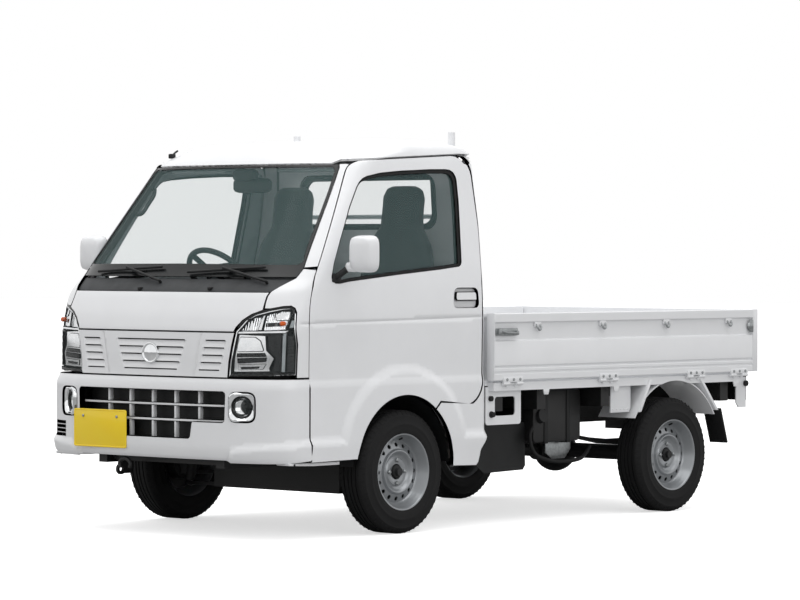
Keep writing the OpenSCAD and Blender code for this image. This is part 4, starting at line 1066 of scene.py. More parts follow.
# %% Hood and cowl
hood_outline = dense(front_line(both_ways([(0, 879)] + HOOD_SIDE[:-1] + [(595, 1051), (0, 1051)])), 14,
                     closed=True)
hood_skin = panel(hood_outline, depth=12, gap=2)
hood_frame = panel(hood_outline, sink=14, gap=30, depth=8, relief=flat_relief, step=60)
Piece("hood_panel", "hood", "body_paint", "hood").add(hood_skin, WHITE_ENAMEL).add(hood_frame,
                                                                                   BED_ENAMEL).make()
cowl_outline = dense(front_line(both_ways([(0, 1050), (604, 1054), (652, 1112), (0, 1112)])), 14, closed=True)
cowl_skin = panel(cowl_outline, sink=11, gap=1, edge=1.5, depth=8, relief=flat_relief)
nozzles = [block((x - 14, y - 10, z - 8), (x + 10, y + 10, z + 6), 4) for x, y,
           z in ((733, -153, 1060), (727, 268, 1063))]
cowl = Piece("windshield_cowl", "chassis", "black_plastic", "cowl").add(cowl_skin, COWL_PLASTIC)
for nozzle in nozzles:
    cowl.add(nozzle, BLACK_PLASTIC)
cowl.make()

# %% [markdown]
# Bonded glass has a black ceramic border fired onto it, which hides the glue. The border
# is its own thin panel on the face of the clear one.

# %% Windshield and rear window
shield_line = front_line(both_ways([(0, 1112)] + WINDSHIELD_SIDE + [(0, 1600)]))
shield_outline = dense(shield_line, 14, closed=True)
clear_half = [(0, 1170), (628, 1166), (641, 1180), (625, 1235), (604, 1346), (581, 1462), (556, 1572),
              (540, 1587)]
clear_hole = dense(front_line(both_ways(clear_half + [(0, 1588)])), 14, closed=True)
frit = panel(shield_outline, [clear_hole], sink=2.5, gap=2, edge=0.8, depth=2, relief=flat_relief)
shield = panel(shield_outline, sink=4.5, gap=3, edge=0.8, depth=4, relief=flat_relief, step=24)
REAR_WINDOW = rounded([(-430, 1322, 60), (430, 1322, 60), (412, 1570, 60), (-412, 1570, 60)], 8)
rear_hole = [(float(back_u(y, z)), z) for y, z in dense(REAR_WINDOW, 14, closed=True)]
rear_seal = panel(rear_hole, [[tuple(p) for p in shrink(rear_hole, 26)]], sink=-3, gap=-5, edge=3, depth=12,
                  relief=flat_relief)
rear_pane = panel(rear_hole, sink=6, gap=8, edge=0.8, depth=4, relief=flat_relief, step=30)
Piece("windshield_and_rear_window", "chassis", "clear_glass", "cab_glass").add(frit, FRIT) \
    .add(shield, WINDOW_GLASS).add(rear_pane, WINDOW_GLASS).add(rear_seal, RUBBER).make()

back_outline = ([(float(back_u(558, z)), z) for z in np.linspace(436, ROOF_SEAM - 2, 60)]
                + [(float(back_u(-558, z)), z) for z in np.linspace(ROOF_SEAM - 2, 436, 60)])
back_outline = dense(back_outline, 20, closed=True)


def back_relief(u, z):
    """Two pressed swages below the rear window."""
    swage = np.maximum(0, 1 - np.abs(z - 1180) / 30) + np.maximum(0, 1 - np.abs(z - 1060) / 30)
    return -5 * np.clip(swage * 1.6, 0, 1)


back_creases = creased(back_outline, [rear_hole],
                       [[(float(back_u(y, z)), z) for y in np.linspace(540, -540, 60)]
                        for z in (1210, 1198, 1162, 1150, 1090, 1078, 1042, 1030)])
back_skin = panel(back_outline, [rear_hole], back_creases, relief=back_relief, depth=16, gap=1, step=20)
Piece("cab_back_panel", "chassis", "body_paint", "cab_back").add(back_skin, WHITE_ENAMEL).make()

# %% [markdown]
# The roof is the same skin carried up to its crown. It is lofted in rings that close
# smoothly to the middle, with a second, lower skin inside as the headlining.

# %% Roof
def roof_low(x):
    """The roof's lower edge: over the windshield, then along the top of the door."""
    door = 1616 + (205 - x) * 40 / 735
    return np.where(x > 214, 1602, np.clip(door + 4, 1602, ROOF_SEAM + 2))


def roof_ring(share, inset=0.0):
    """Half of a ring, from the front round the left side to the rear; share runs 0 to 1 up to the crown."""
    points, normals = [], []
    base = np.concatenate([np.linspace(0, 1, 26), np.linspace(1, 2, 34)[1:], np.linspace(2, 3, 24)[1:]])
    for s in base:
        z = 1640.0
        for _ in range(4):
            start = float(FRONT(z) - nose_depth(z))
            corner = SIDE_U + start + float(REAR(z)) - float(corner_r(z))
            end = float(back_u(0, z))
            if s <= 1:
                u = s * SIDE_U
            elif s <= 2:
                u = SIDE_U + (s - 1) * (corner - SIDE_U)
            else:
                u = corner + (s - 2) * (end - corner)
            x = float(skin(u, z)[0])
            low = float(roof_low(x))
            z = low + (ROOF_CROWN - low) * share
        flat = np.array([u]), np.array([z])
        p, n, *_ = surface_frame(skin, flat_relief, flat[0], flat[1], inset)
        points.append(p[0])
        normals.append(n[0])
    return np.array(points), np.array(normals)


def roof_shell(inset, shares):
    rings, normals = [], []
    for share in shares:
        p, n = roof_ring(share, inset)
        other = slice(-2, 0, -1)
        rings.append(np.concatenate([p, p[other] * (1, -1, 1)]))
        normals.append(np.concatenate([n, n[other] * (1, -1, 1)]))
    centre = rings[-1].mean(0)
    rings.append(rings[-1] * 0.02 + centre * 0.98)
    normals.append(np.zeros_like(normals[-1]) + (0, 0, 1))
    return rings, normals


SHARES = [0, 0.12, 0.24, 0.36, 0.47, 0.57, 0.66, 0.74, 0.81, 0.87, 0.92, 0.96, 0.985, 1.0]
outer, outer_normals = roof_shell(0, SHARES)
inner, inner_normals = roof_shell(22, SHARES)
rings = list(reversed(inner)) + outer
ring_normals = [-n for n in reversed(inner_normals)] + outer_normals
roof_points, roof_faces = loft(rings)
roof_skin = (roof_points, roof_faces, np.concatenate(ring_normals))
antenna = [block((128, -572, 1640), (156, -548, 1662),
                 5), tube([(140, -560, 1655), (120, -562, 1668), (104, -563, 1676)], 4.5)]
roof = Piece("cab_roof", "chassis", "body_paint", "roof").add(roof_skin, WHITE_ENAMEL)
roof.make()
Piece("roof_antenna", "chassis", "black_plastic").add(antenna[0], BLACK_PLASTIC).add(antenna[1],
                                                                                     BLACK_PLASTIC).make()

# %% [markdown]
# ## The face
# The bumper is a single deep moulding that wraps the whole front, with one T-shaped intake,
# two rounded square lamp pockets and a few slots for air at one corner.

# %% Bumper
FOG_AT = (529, 565)
fog_square = [(y, z) for _, y, z in rounded_box_ring(FOG_AT, 63, 63, 0, 4.5, 44)]
fog_hole = [(float(u_at_y(y, z)), z) for y, z in fog_square]
fog_hole_right = [(-u, z) for u, z in reversed(fog_hole)]
intake_half = rounded([(0, 628, 0), (445, 628, 14), (440, 500, 12), (262, 500, 10), (250, 428, 12),
                       (0, 428, 0)], 4)
intake = dense(front_line(both_ways(intake_half)), 12, closed=True)
slots = [dense(front_line([(-663, z), (-560, z), (-560, z + 9), (-663, z + 9)], 12), 12, closed=True)
         for z in (411, 429, 447, 465)]
right_end, left_end = -float(u_at_x(DOOR_FRONT, 500)), float(u_at_x(DOOR_FRONT, 500))
bumper_outline = dense([(right_end, SILL + 8), (right_end + 60, SILL + 2), (-560, SILL), (560, SILL),
                        (left_end - 60, SILL + 2), (left_end, SILL + 8), (left_end, BUMPER_TOP),
                        (right_end, BUMPER_TOP)], 12, closed=True)
bumper_holes = [intake, fog_hole, fog_hole_right, *slots]
bumper_creases = creased(bumper_outline, bumper_holes, skirt_lines(330, left_end - 8)
                         + [[(-u, z) for u, z in reversed(line)] for line in skirt_lines(330, left_end - 8)]
                         + level_lines((655, 684), right_end + 8, left_end - 8))
bumper_skin = panel(bumper_outline, bumper_holes, bumper_creases, depth=26, edge=3, gap=1.5)
intake_back = panel(intake, sink=75, gap=-14, edge=1, depth=4, relief=flat_relief, step=40)
intake_bars = [block((786, y - 6, 426), (808, y + 6, 630), 3) for y in (0, -138, 138)]
intake_bars += [block((780, y - 6, 498), (802, y + 6, 630), 3) for y in (-276, 276)]
cross_bars = [panel(dense(front_line([(-446, z - 7), (446, z - 7), (446, z + 7), (-446, z + 7)], 14), 14,
                          closed=True),
                    sink=28, gap=0, edge=3, depth=22, relief=flat_relief) for z in (568, 502)]
# Painted shade: a black sheet behind the corner slots stands in for the dark space inside them.
slot_shade_sheet = panel(dense(front_line([(-680, 400), (-545, 400), (-545, 484), (-680, 484)], 12), 12,
                        closed=True),
                  sink=28, gap=0, edge=1, depth=3, relief=flat_relief, step=40)
RING_ANGLES = np.linspace(-0.6, math.pi + 0.6, 18)
tow_ring = [(802, -175 + 34 * math.cos(a), 300 + 24 * math.sin(a)) for a in RING_ANGLES]
bumper = Piece("bumper_cover", "chassis", "body_paint", "bumper").add(bumper_skin, WHITE_ENAMEL) \
    .add(intake_back, BLACK_PLASTIC).add(slot_shade_sheet, BLACK_PLASTIC)
for bar in intake_bars + cross_bars:
    bumper.add(bar, WHITE_ENAMEL)
bumper.make()
sill_flange = pushed([(398, 316), (560, 316), (705, 322), (712, 332), (560, 330), (398, 330)], 640, 716,
                     "y", 2)
flange_hole = tube([(676, 717.5, 324), (676, 712, 324)], 5, 16)
flanges = Piece("sill_flanges", "chassis", "body_paint").add_both(sill_flange, WHITE_ENAMEL)
flanges.add_both(flange_hole, BLACK_PLASTIC).make()
Piece("front_tow_ring", "chassis", "frame_paint").add(tube(tow_ring, 9), CHASSIS_BLACK).make()

# %% [markdown]
# The grille has three blocks of pressed louvres. A louvre is a strip that leans out towards
# its lower edge, over a narrow slot that lets the air in. So each block is a rule for how
# deep the metal is at a height, with slots cut through it and a black sheet behind them,
# painted shade that stands in for the dark gap behind each louvre.

# %% Grille
LOUVRE_TOP, LOUVRE_PITCH, LOUVRES, LOUVRE_DEPTH = 846, 31.5, 4, 9
SLOT_HEIGHT = 3.5
LOUVRE_LOW = LOUVRE_TOP - LOUVRE_PITCH * LOUVRES


def block_share(y, z):
    """1 inside a louvre block and 0 outside, with slanted ends."""
    up = np.clip((z - LOUVRE_LOW) / (LOUVRE_TOP - LOUVRE_LOW), 0, 1)
    away = np.abs(y)
    centre = ramp(166 + 44 * up - away, 6)
    side = ramp(away - (286 + 36 * up), 6) * ramp(405 + 30 * up - away, 6)
    return np.maximum(centre, side)


def louvre_relief(u, z):
    y = skin(u, z)[..., 1]
    t = np.clip((LOUVRE_TOP - z) / LOUVRE_PITCH, 0, LOUVRES)
    fall = t - np.floor(t)
    step = np.clip((LOUVRE_TOP - z) % LOUVRE_PITCH / SLOT_HEIGHT, 0, 1)
    inside_block = (z < LOUVRE_TOP) & (z > LOUVRE_LOW)
    bay = np.where(inside_block, -LOUVRE_DEPTH * (1 - fall) * step * block_share(y, z), 0)
    seam_y = 262 + (z - 690) * 34 / 158
    return bay - 2.5 * np.clip(1 - np.abs(np.abs(y) - seam_y) / 3, 0, 1)


grille_half = [(0, 879), (480, 879), (466, 826), (452, 754), (447, BUMPER_TOP)]
grille_outline = dense(front_line(both_ways(grille_half + [(0, BUMPER_TOP)])), 12, closed=True)
louvre_slots, louvre_creases = [], []
for k in range(LOUVRES + 1):
    z = LOUVRE_TOP - k * LOUVRE_PITCH
    up = (z - LOUVRE_LOW) / (LOUVRE_TOP - LOUVRE_LOW)
    for a, b in ((-160 - 44 * up, 160 + 44 * up), (290 + 36 * up, 401 + 30 * up),
                 (-401 - 30 * up, -290 - 36 * up)):
        slot = [(a, z - SLOT_HEIGHT), (b, z - SLOT_HEIGHT), (b, z), (a, z)]
        louvre_slots.append(dense(front_line(slot, 12), 12, closed=True))
for sign in (-1, 1):
    for off in (-3, 0, 3):
        louvre_creases.append(front_line([(sign * (263 + off), 694), (sign * (302 + off), 873)], 9))
louvre_creases = creased(grille_outline, louvre_slots, louvre_creases)
grille_skin = panel(grille_outline, louvre_slots, louvre_creases, relief=louvre_relief, depth=14, edge=1,
                    gap=1.5, step=10)
# Painted shade: a black sheet behind the louvre slots stands in for the dark gap behind them.
grille_shade_sheet = panel(grille_outline, sink=26, gap=8, edge=1, depth=3, relief=flat_relief, step=60)
FACING_FRONT = Matrix.Rotation(-math.pi / 2, 4, "Z")
disc_profile = [(0.5, 6), (14, 5.6), (28, 4), (38, 1.4), (40, 0.6), (42, 3), (46, 4.4), (49.5, 3), (50.5, -4),
                (48, -8), (0.5, -8)]
disc = moved(lathe(disc_profile, 72), (822, 0, 786), FACING_FRONT, (1, 1, 0.88))
Piece("grille_panel", "chassis", "body_paint", "grille").add(grille_skin, WHITE_ENAMEL) \
    .add(grille_shade_sheet, BLACK_PLASTIC).add(disc, CHROME).make()

# %% [markdown]
# A lamp is a clear cover over a box of bright and dark parts. Its parts are laid out on
# the same skin, each at its own depth behind the cover, the way the real bezels nest.

# %% Headlamps
def lamp_part(corners, sink, depth=4.0, edge=1.5, relief=flat_relief, step=14, holes=(), round_mm=0):
    """A part of the lamp between corners (y, z), sunk behind the cover."""
    corners = rounded([(*c, round_mm) for c in corners], 4) if round_mm else corners
    line = dense(wrapped([(at_lamp_x(y, z), y, z) for y, z in dense(corners, 10, closed=True)]), 10,
                 closed=True)
    return panel(line, holes, relief=relief, sink=sink, gap=0, edge=edge, depth=depth, step=step)


def at_lamp_x(y, z):
    """Where the skin is at a width y: forward of the axle, on the curve of the nose."""
    share = min(abs(y) / float(HALF(z)), 0.9999)
    phi = math.atan2(share, (1 - share**3) ** (1 / 3))
    return float(FRONT(z)) - NOSE + NOSE * (1 - share**3) ** (1 / 3)


def ribbed(pitch, depth):
    def rule(u, z):
        return depth * np.abs((u / pitch) % 1 - 0.5) * 2
    return rule


def flat_ribbed(pitch, depth):
    def rule(u, z):
        return depth * np.abs((z / pitch) % 1 - 0.5) * 2
    return rule


cover = panel(lamp_outline, sink=0, gap=2, edge=2.5, depth=5, relief=flat_relief)
lamp_inner = [tuple(p) for p in shrink(lamp_outline, 9)]
lamp_box = panel(lamp_outline, [lamp_inner], sink=5, gap=3, edge=1, depth=58, relief=flat_relief)
lamp_back = panel(lamp_outline, sink=60, gap=4, edge=1, depth=3, relief=flat_relief, step=30)
lower_lip = lamp_part([(452, 692), (712, 698), (712, 712), (452, 707)], 5, 12)
centre_bezel = lamp_part([(466, 712), (640, 716), (632, 728), (652, 772), (620, 806), (616, 868), (490, 872),
                          (474, 826)],
                         16, 16, 2.5, round_mm=5)
bowl_upper = lamp_part([(482, 796), (612, 800), (596, 846), (572, 862), (498, 862), (486, 828)], 12, 6, 3,
                       round_mm=7)
bowl_band = lamp_part([(480, 774), (622, 778), (614, 795), (482, 792)], 13.5, 4)
bowl_slot = lamp_part([(488, 748), (618, 756), (622, 776), (484, 771)], 11, 4)
bowl_low = lamp_part([(492, 720), (606, 724), (622, 750), (488, 745)], 13, 5, 2)
bowl_glint = lamp_part([(506, 724), (588, 728), (594, 738), (502, 734)], 11, 3)
dark_column = lamp_part([(640, 716), (676, 717), (678, 872), (622, 872), (622, 806), (656, 772)], 26, 4,
                        round_mm=3)
white_bar = lamp_part([(678, 714), (690, 714), (694, 880), (682, 880)], 12, 18, 2)
ribs_low = lamp_part([(694, 716), (712, 716), (712, 868), (698, 868)], 7, 3, 1, flat_ribbed(14, 2), 7)
shelf = lamp_part([(478, 873), (690, 878), (700, 890), (480, 884)], 9, 22, 2)
shelf_shadow = lamp_part([(618, 866), (684, 868), (684, 874), (618, 872)], 8, 10, 1)
turn_inner = lamp_part([(486, 886), (580, 890), (590, 950), (556, 948), (520, 926), (496, 902)], 24, 6, 2,
                       ribbed(9, 5), 5)
turn_post = lamp_part([(580, 890), (600, 890), (604, 960), (592, 956)], 14, 14, 3)
turn_bowl = lamp_part([(602, 890), (690, 894), (698, 962), (690, 974), (620, 968), (606, 956)], 26, 6, 2,
                      ribbed(11, 6), 5)
turn_glow = lamp_part([(652, 934), (694, 936), (694, 974), (664, 976), (640, 962)], 20, 4, 2, ribbed(12, 3),
                      6)
turn_slot = lamp_part([(608, 908), (676, 912), (678, 928), (608, 926)], 21, 3, 2)
lamp_rim_dark = lamp_part([(488, 902), (508, 932), (530, 948), (565, 967), (620, 982), (664, 991), (690, 992),
                           (702, 980),
                           (706, 960), (700, 958), (696, 972), (688, 982), (664, 981), (620, 972), (567, 956),
                           (534, 937), (514, 922), (494, 898)], 3.5, 6, 0.8, step=8)
bulb_at = [(at_lamp_x(672, 918) - 20, 672, 918), (at_lamp_x(672, 918) + 2, 674, 918)]
amber_bulb = tube([Vector(bulb_at[0]), Vector(bulb_at[0]).lerp(Vector(bulb_at[1]), 0.8), Vector(bulb_at[1])],
                  [10, 10, 4], 16)
white_clip = lamp_part([(700, 900), (712, 902), (712, 934), (702, 932)], 8, 8, 1)
lamps = Piece("headlamps", "chassis", "lamp_lens", "headlights")
for part, finish in ((lamp_box, CHROME), (lamp_back, GLOSS_BLACK), (lower_lip, GLOSS_BLACK),
                     (centre_bezel, CHROME),
                     (bowl_upper, CHROME), (bowl_band, GLOSS_BLACK), (bowl_slot, GLOSS_BLACK),
                     (bowl_low, CHROME),
                     (bowl_glint, GLOSS_BLACK), (dark_column, GLOSS_BLACK), (white_bar, TRIM_PLASTIC),
                     (ribs_low, BLACK_PLASTIC), (shelf, CHROME), (shelf_shadow, GLOSS_BLACK),
                     (turn_inner, CHROME),
                     (turn_post, CHROME), (turn_bowl, CHROME), (turn_glow, CHROME), (turn_slot, GLOSS_BLACK),
                     (lamp_rim_dark, GLOSS_BLACK), (amber_bulb, AMBER_LENS), (white_clip, TRIM_PLASTIC),
                     (cover, LAMP_LENS)):
    lamps.add_both(part, finish)
lamps.make()

# %% Fog lamps
FOG_BEZEL = [(-24, 62, 4.5), (-3, 62, 4.5), (2, 58, 4.5), (2.5, 54, 4), (-1, 50, 3), (-3, 48, 2.2),
             (-16, 45, 2), (-26, 44, 2)]
FOG_BOWL = [(0.5, -44), (20, -40), (36, -28), (46, -14), (48, -12), (48, -46), (0.5, -50)]
FOG_COVER = [(0.5, -6), (24, -7.5), (40, -10), (48, -14), (48, -17), (40, -13), (24, -10.5), (0.5, -9)]
fog_x = at_lamp_x(FOG_AT[0], FOG_AT[1])
fog_place = (fog_x, FOG_AT[0], FOG_AT[1])
fogs = Piece("fog_lamp_pair", "chassis", "lamp_lens", "fog_lamps")
fog_yaw = Matrix.Rotation(math.radians(24), 4, "Z") @ FACING_FRONT
FOG_BULB = [(0.5, -22), (9, -23), (12, -27), (12, -44), (0.5, -44)]
FOG_RING = [(46, -10), (43, -9), (38, -13), (37, -20), (46, -22)]
bezel = softened(*loft([[(x, y, z) for _, y, z in rounded_box_ring((0, 0), r, r, 0, p, 64)] for x, r,
                        p in FOG_BEZEL],
                       caps=(False, False)), 0)
fogs.add_both(moved(bezel, fog_place, Matrix.Rotation(math.radians(24), 4, "Z")), CHROME)
for profile, finish in ((FOG_BOWL, CHROME), (FOG_RING, GLOSS_BLACK), (FOG_COVER, LAMP_LENS),
                        (FOG_BULB, GLOSS_BLACK)):
    fogs.add_both(moved(lathe(profile, 64), fog_place, fog_yaw), finish)
fogs.make()

# %% [markdown]
# ## Repeating parts
# Wheel holes, nuts, tread lugs, rivets and floor ribs all repeat one small shape. Each could
# be copied in a loop, but a Geometry Nodes tree says it once: place one shape on a row of
# points, turn each a little more than the last, and make the result real.

# %% The repeat tree
def repeat_tree():
    tree = bpy.data.node_groups.new("repeat_along_or_around", "GeometryNodeTree")
    for name, kind in (("Geometry", "NodeSocketGeometry"), ("Count", "NodeSocketInt"),
                       ("Offset", "NodeSocketVector"),
                       ("Turn", "NodeSocketVector"), ("Merge", "NodeSocketFloat"),
                       ("Material", "NodeSocketMaterial")):
        tree.interface.new_socket(name, in_out="INPUT", socket_type=kind)
    tree.interface.new_socket("Geometry", in_out="OUTPUT", socket_type="NodeSocketGeometry")
    given = node(tree, "NodeGroupInput").outputs
    points = node(tree, "GeometryNodeMeshLine", links={"Count": given["Count"], "Offset": given["Offset"]})
    index = node(tree, "GeometryNodeInputIndex").outputs[0]
    turn = node(tree, "ShaderNodeVectorMath", {"operation": "SCALE"}, {0: given["Turn"], "Scale": index})
    placed = node(tree, "GeometryNodeInstanceOnPoints", links={"Points": points.outputs[0],
                                                               "Instance": given["Geometry"],
                                                               "Rotation": turn.outputs[0]})
    real = node(tree, "GeometryNodeRealizeInstances", links={"Geometry": placed.outputs[0]})
    merged = node(tree, "GeometryNodeMergeByDistance", links={"Geometry": real.outputs[0],
                                                              "Distance": given["Merge"]})
    finished = node(tree, "GeometryNodeSetMaterial", links={"Geometry": merged.outputs[0],
                                                            "Material": given["Material"]})
    node(tree, "NodeGroupOutput", links={"Geometry": finished.outputs[0]})
    return tree


REPEAT = repeat_tree()


def repeated(shape, count, offset=(0, 0, 0), turn=(0, 0, 0), merge=0.0, material=None):
    """Copies of a shape in a row or round a circle, as one shape."""
    mesh = bpy.data.meshes.new("seed")
    mesh.from_pydata([tuple(p) for p in shape[0]], [], [tuple(f) for f in shape[1]])
    seed = bpy.data.objects.new("seed", mesh)
    bpy.context.scene.collection.objects.link(seed)
    modifier = seed.modifiers.new("repeat", "NODES")
    modifier.node_group = REPEAT
    sockets = {s.name: s.identifier for s in REPEAT.interface.items_tree if s.in_out == "INPUT"}
    for name, value in (("Count", count), ("Offset", offset), ("Turn", turn), ("Merge", merge),
                        ("Material", material)):
        modifier[sockets[name]] = value
    result = bpy.data.meshes.new_from_object(seed.evaluated_get(bpy.context.evaluated_depsgraph_get()))
    points = np.array([v.co for v in result.vertices])
    faces = [tuple(p.vertices) for p in result.polygons]
    bpy.data.objects.remove(seed)
    bpy.data.meshes.remove(mesh)
    bpy.data.meshes.remove(result)
    return points, faces


print("repeat tree nodes:", len(REPEAT.nodes))

# %% [markdown]
# A pressed steel wheel is a rolled rim welded round a disc, with sixteen round holes that
# save weight and cool the brake. One sixteenth of the disc is cut with its hole and is
# then repeated round the axle. A thin black ring behind the holes stands for the drum.
# The tyre is turned from its mould's profile.

# %% Wheels
WHEEL_HOLES = 16
HOLE_R, HOLE_RING = 9.5, 117
RING_IN, RING_OUT = 99, 134


def ring_y(r):
    """How far out the disc's face is at a radius."""
    return 34 - (r - 99) * 0.36


half_step = math.pi / WHEEL_HOLES
sector = [(r * math.sin(a), r * math.cos(a)) for r, sweep in ((RING_OUT, (-1, 1)), (RING_IN, (1, -1)))
          for a in np.linspace(sweep[0] * half_step, sweep[1] * half_step, 5)]
hole = arc(0, HOLE_RING, HOLE_R, 0, 360, 20)[:-1]
flat, sector_faces = filled([np.array(sector), np.array(hole)], [], 8)
sector_r = np.hypot(flat[:, 0], flat[:, 1])
front_face = np.stack([flat[:, 0], ring_y(sector_r), flat[:, 1]], 1)
hole_face = np.array([(x, ring_y(math.hypot(x, z)), z) for x, z in hole])
hole_wall = loft([hole_face, hole_face - (0, 5, 0)], caps=(False, False))
sector_shape = softened(*joined((front_face, sector_faces.tolist()), hole_wall), 0)
facing = np.cross(front_face[sector_faces[0][1]] - front_face[sector_faces[0][0]],
                  front_face[sector_faces[0][2]] - front_face[sector_faces[0][0]])[1]
ordered = sector_faces if facing > 0 else sector_faces[:, ::-1]
sector_shape = joined((front_face, ordered.tolist()), (hole_wall[0],
                                                       [tuple(reversed(f)) for f in hole_wall[1]]),
                      (front_face - (0, 5, 0), ordered[:, ::-1].tolist()))
hole_ring = repeated(sector_shape, WHEEL_HOLES, turn=(0, math.tau / WHEEL_HOLES, 0), merge=0.01,
                     material=WHEEL_SILVER)
RIM_PROFILE = [(166, 66), (168, 69), (166, 72), (161, 71), (156, 64), (152, 52), (147, 46), (143, 30),
               (134, 22),
               (133, -10), (146, -40), (150, -58), (158, -66), (166, -70), (166, -66), (154, -56), (149, -38),
               (137, -8), (138, 20), (148, 34), (152, 44), (156, 58), (162, 66)]
DISH_PROFILE = [(100, 34), (97, 39), (94, 44), (90, 45), (86, 43), (80, 34), (72, 26), (66, 24), (62, 26),
                (58, 30),
                (44, 31), (38, 29), (34, 29), (34, 20), (60, 18), (84, 26), (92, 32), (98, 28)]
DRUM_PROFILE = [(62, 14), (128, 14), (129, 12), (129, 9.5), (62, 9.5)]
CAP_PROFILE = [(0.5, 40), (20, 39), (28, 36), (31, 31), (32, 20), (0.5, 20)]
nut = moved(softened(*lathe([(0.5, 12), (6, 12), (9.5, 9), (9.5, 0), (0.5, 0)], 6), 0), (0, 28, 50))
nuts = repeated(nut, 4, turn=(0, math.pi / 2, 0), material=ZINC)
groove = [(268, 46), (268, 37), (262, 36), (262, 31), (268, 30), (268, 13), (262, 12), (262, 7), (268, 6)]
TYRE_SIDE = [(157, 62), (163, 69), (172, 73), (190, 74.4), (203, 74.6), (205, 75.4), (208, 75.4), (210, 74.2),
             (226, 73), (240, 70.5), (243, 71), (246, 69), (254, 64), (262, 57), (267, 50)]
TYRE_PROFILE = (TYRE_SIDE + groove + [(r, -y) for r, y in reversed(groove)] + [(r, -y) for r,
                                                                               y in reversed(TYRE_SIDE)]
                + [(160, -52), (230, -56), (252, -40), (255, 0), (252, 40), (230, 56), (160, 52)])
SHOULDER_LUGS = 56
lug = softened(*loft([[(-4, 52, 265.6), (4, 52, 265.6), (5, 66, 249), (-5, 66, 249)],
                      [(-3, 53.5, 267.6), (3, 53.5, 267.6), (4, 68.2, 251), (-4, 68.2, 251)]]), 0)
lugs = repeated(lug, SHOULDER_LUGS, turn=(0, math.tau / SHOULDER_LUGS, 0), material=TYRE_RUBBER)
tyre_shape = lathe(TYRE_PROFILE, 112)
valve = tube([(0, 46, 140), (0, 62, 146), (0, 66, 147)], [4, 4, 2.5], 8)
wheel_parts = ((lathe(RIM_PROFILE, 96), WHEEL_SILVER), (hole_ring, WHEEL_SILVER),
               (lathe(DISH_PROFILE, 72), WHEEL_SILVER),
               (lathe(CAP_PROFILE, 40), BLACK_PLASTIC), (lathe(DRUM_PROFILE, 72), CHASSIS_BLACK),
               (nuts, ZINC), (valve, RUBBER))
for name, x, half_track in (("front", 0, HALF_TRACK), ("rear", REAR_AXLE, REAR_HALF_TRACK)):
    at = (x, half_track, TYRE_R)
    for side, flip in (("left", lambda shape: shape), ("right", mirrored)):
        corner = f"{name}_{side}"
        tyre = Piece("road_tyre_" + corner, "wheel_" + corner, "tyre_rubber", "tyre_" + corner)
        tyre.add(flip(moved(tyre_shape, at)), TYRE_RUBBER, 40).add(flip(moved(lugs, at)), TYRE_RUBBER)
        tyre.add(flip(moved(mirrored(lugs), at)), TYRE_RUBBER).make()
        disc_wheel = Piece("steel_wheel_" + corner, "wheel_" + corner, "steel_wheel", "rim_" + corner)
        for shape, finish in wheel_parts:
            disc_wheel.add(flip(moved(shape, at)), finish)
        disc_wheel.make()

# %% [markdown]
# ## The load bed
# A gate is one roll-formed sheet, so its section is the same from end to end: a proud top
# rail, a recessed band, the main panel and two low ribs. Pushing the section through gives
# every line of it in one step.

# %% Gates
GATE_SECTION = [(705, 944), (708, 947), (746, 947), (749, 944), (749, 910), (746, 907), (737, 905),
                (736, 903),
                (736, 830), (738, 827), (745, 823), (746, 820), (746, 716), (744, 713), (739, 711),
                (739, 705),
                (744, 703), (746, 700), (746, 690), (741, 686), (741, 680), (746, 676), (746, 652),
                (743, 648),
                (712, 648), (709, 651), (709, 700), (712, 706), (712, 712), (709, 718), (709, 820),
                (714, 826),
                (714, 902), (705, 906)]
BED_FRONT, BED_REAR = -573, -2500
HOOK_XS, HINGE_XS = (-880, -1345, -1820, -2305), (-705, -1388, -2046, -2385)
gate_sheet = pushed(GATE_SECTION, BED_REAR + 4, BED_FRONT - 4, "x", 0)
end_cap = [pushed([(704, 648), (747, 648), (750, 910), (750, 948), (704, 948)], x - 3, x + 3, "x", 1.5)
           for x in (BED_REAR + 3, BED_FRONT - 3)]
hook_plate = block((-22, 737, 884), (22, 747, 908), 3)
hook_rod = tube(curve_through([(-14, 745, 896), (-13, 753, 884), (-6, 755, 872), (6, 755, 872),
                               (13, 753, 884),
                               (14, 745, 896)], 5), 4.5)
hinge_leaf = block((-68, 744, 640), (68, 750.5, 664), 3)
knuckle = tube([(-66, 745, 634), (-24, 745, 634)], 8, 14)
bolt = moved(softened(*lathe([(0.5, 5), (5, 5), (7, 3.5), (7, 0), (0.5, 0)], 6), 0), (0, 750, 652))
latch = [block((-735, 744, 848), (-585, 751, 882),
               4), tube([(-728, 757, 858), (-640, 759, 862), (-600, 757, 874)], 6, 10),
         block((-612, 748, 852), (-590, 764, 880), 4), block((-730, 750, 850), (-712, 762, 870), 3)]
rear_latch = [moved(lathe([(0.5, 10), (12, 10), (18, 6), (22, 0), (0.5, 0)], 28), (-2478, 744, 868)),
              block((-2496, 744, 838), (-2466, 752, 898), 4)]
for side, flip in (("left", lambda shape: shape), ("right", mirrored)):
    gate = Piece("gate_panel_" + side, "gate_" + side, "body_paint", "gate_" + side).add(flip(gate_sheet),
                                                                                         BED_ENAMEL, 20)
    for cap in end_cap:
        gate.add(flip(cap), BED_ENAMEL)
    for x in HOOK_XS:
        gate.add(flip(moved(hook_plate, (x, 0, 0))), BED_ENAMEL).add(flip(moved(hook_rod, (x, 0, 0))), ZINC)
    for x in HINGE_XS:
        bolts = repeated(moved(bolt, (x - 45, 0, 0)), 3, offset=(45, 0, 0), material=ZINC)
        gate.add(flip(moved(hinge_leaf, (x, 0, 0))), BED_ENAMEL).add(flip(bolts), ZINC)
        gate.add(flip(moved(knuckle, (x, 0, 0))), BED_ENAMEL).add(flip(moved(knuckle, (x + 90, 0, 0))),
                                                                  BED_ENAMEL)
    for shape in latch:
        gate.add(flip(shape), ZINC)
    for shape in rear_latch:
        gate.add(flip(shape), ZINC)
    gate.make()

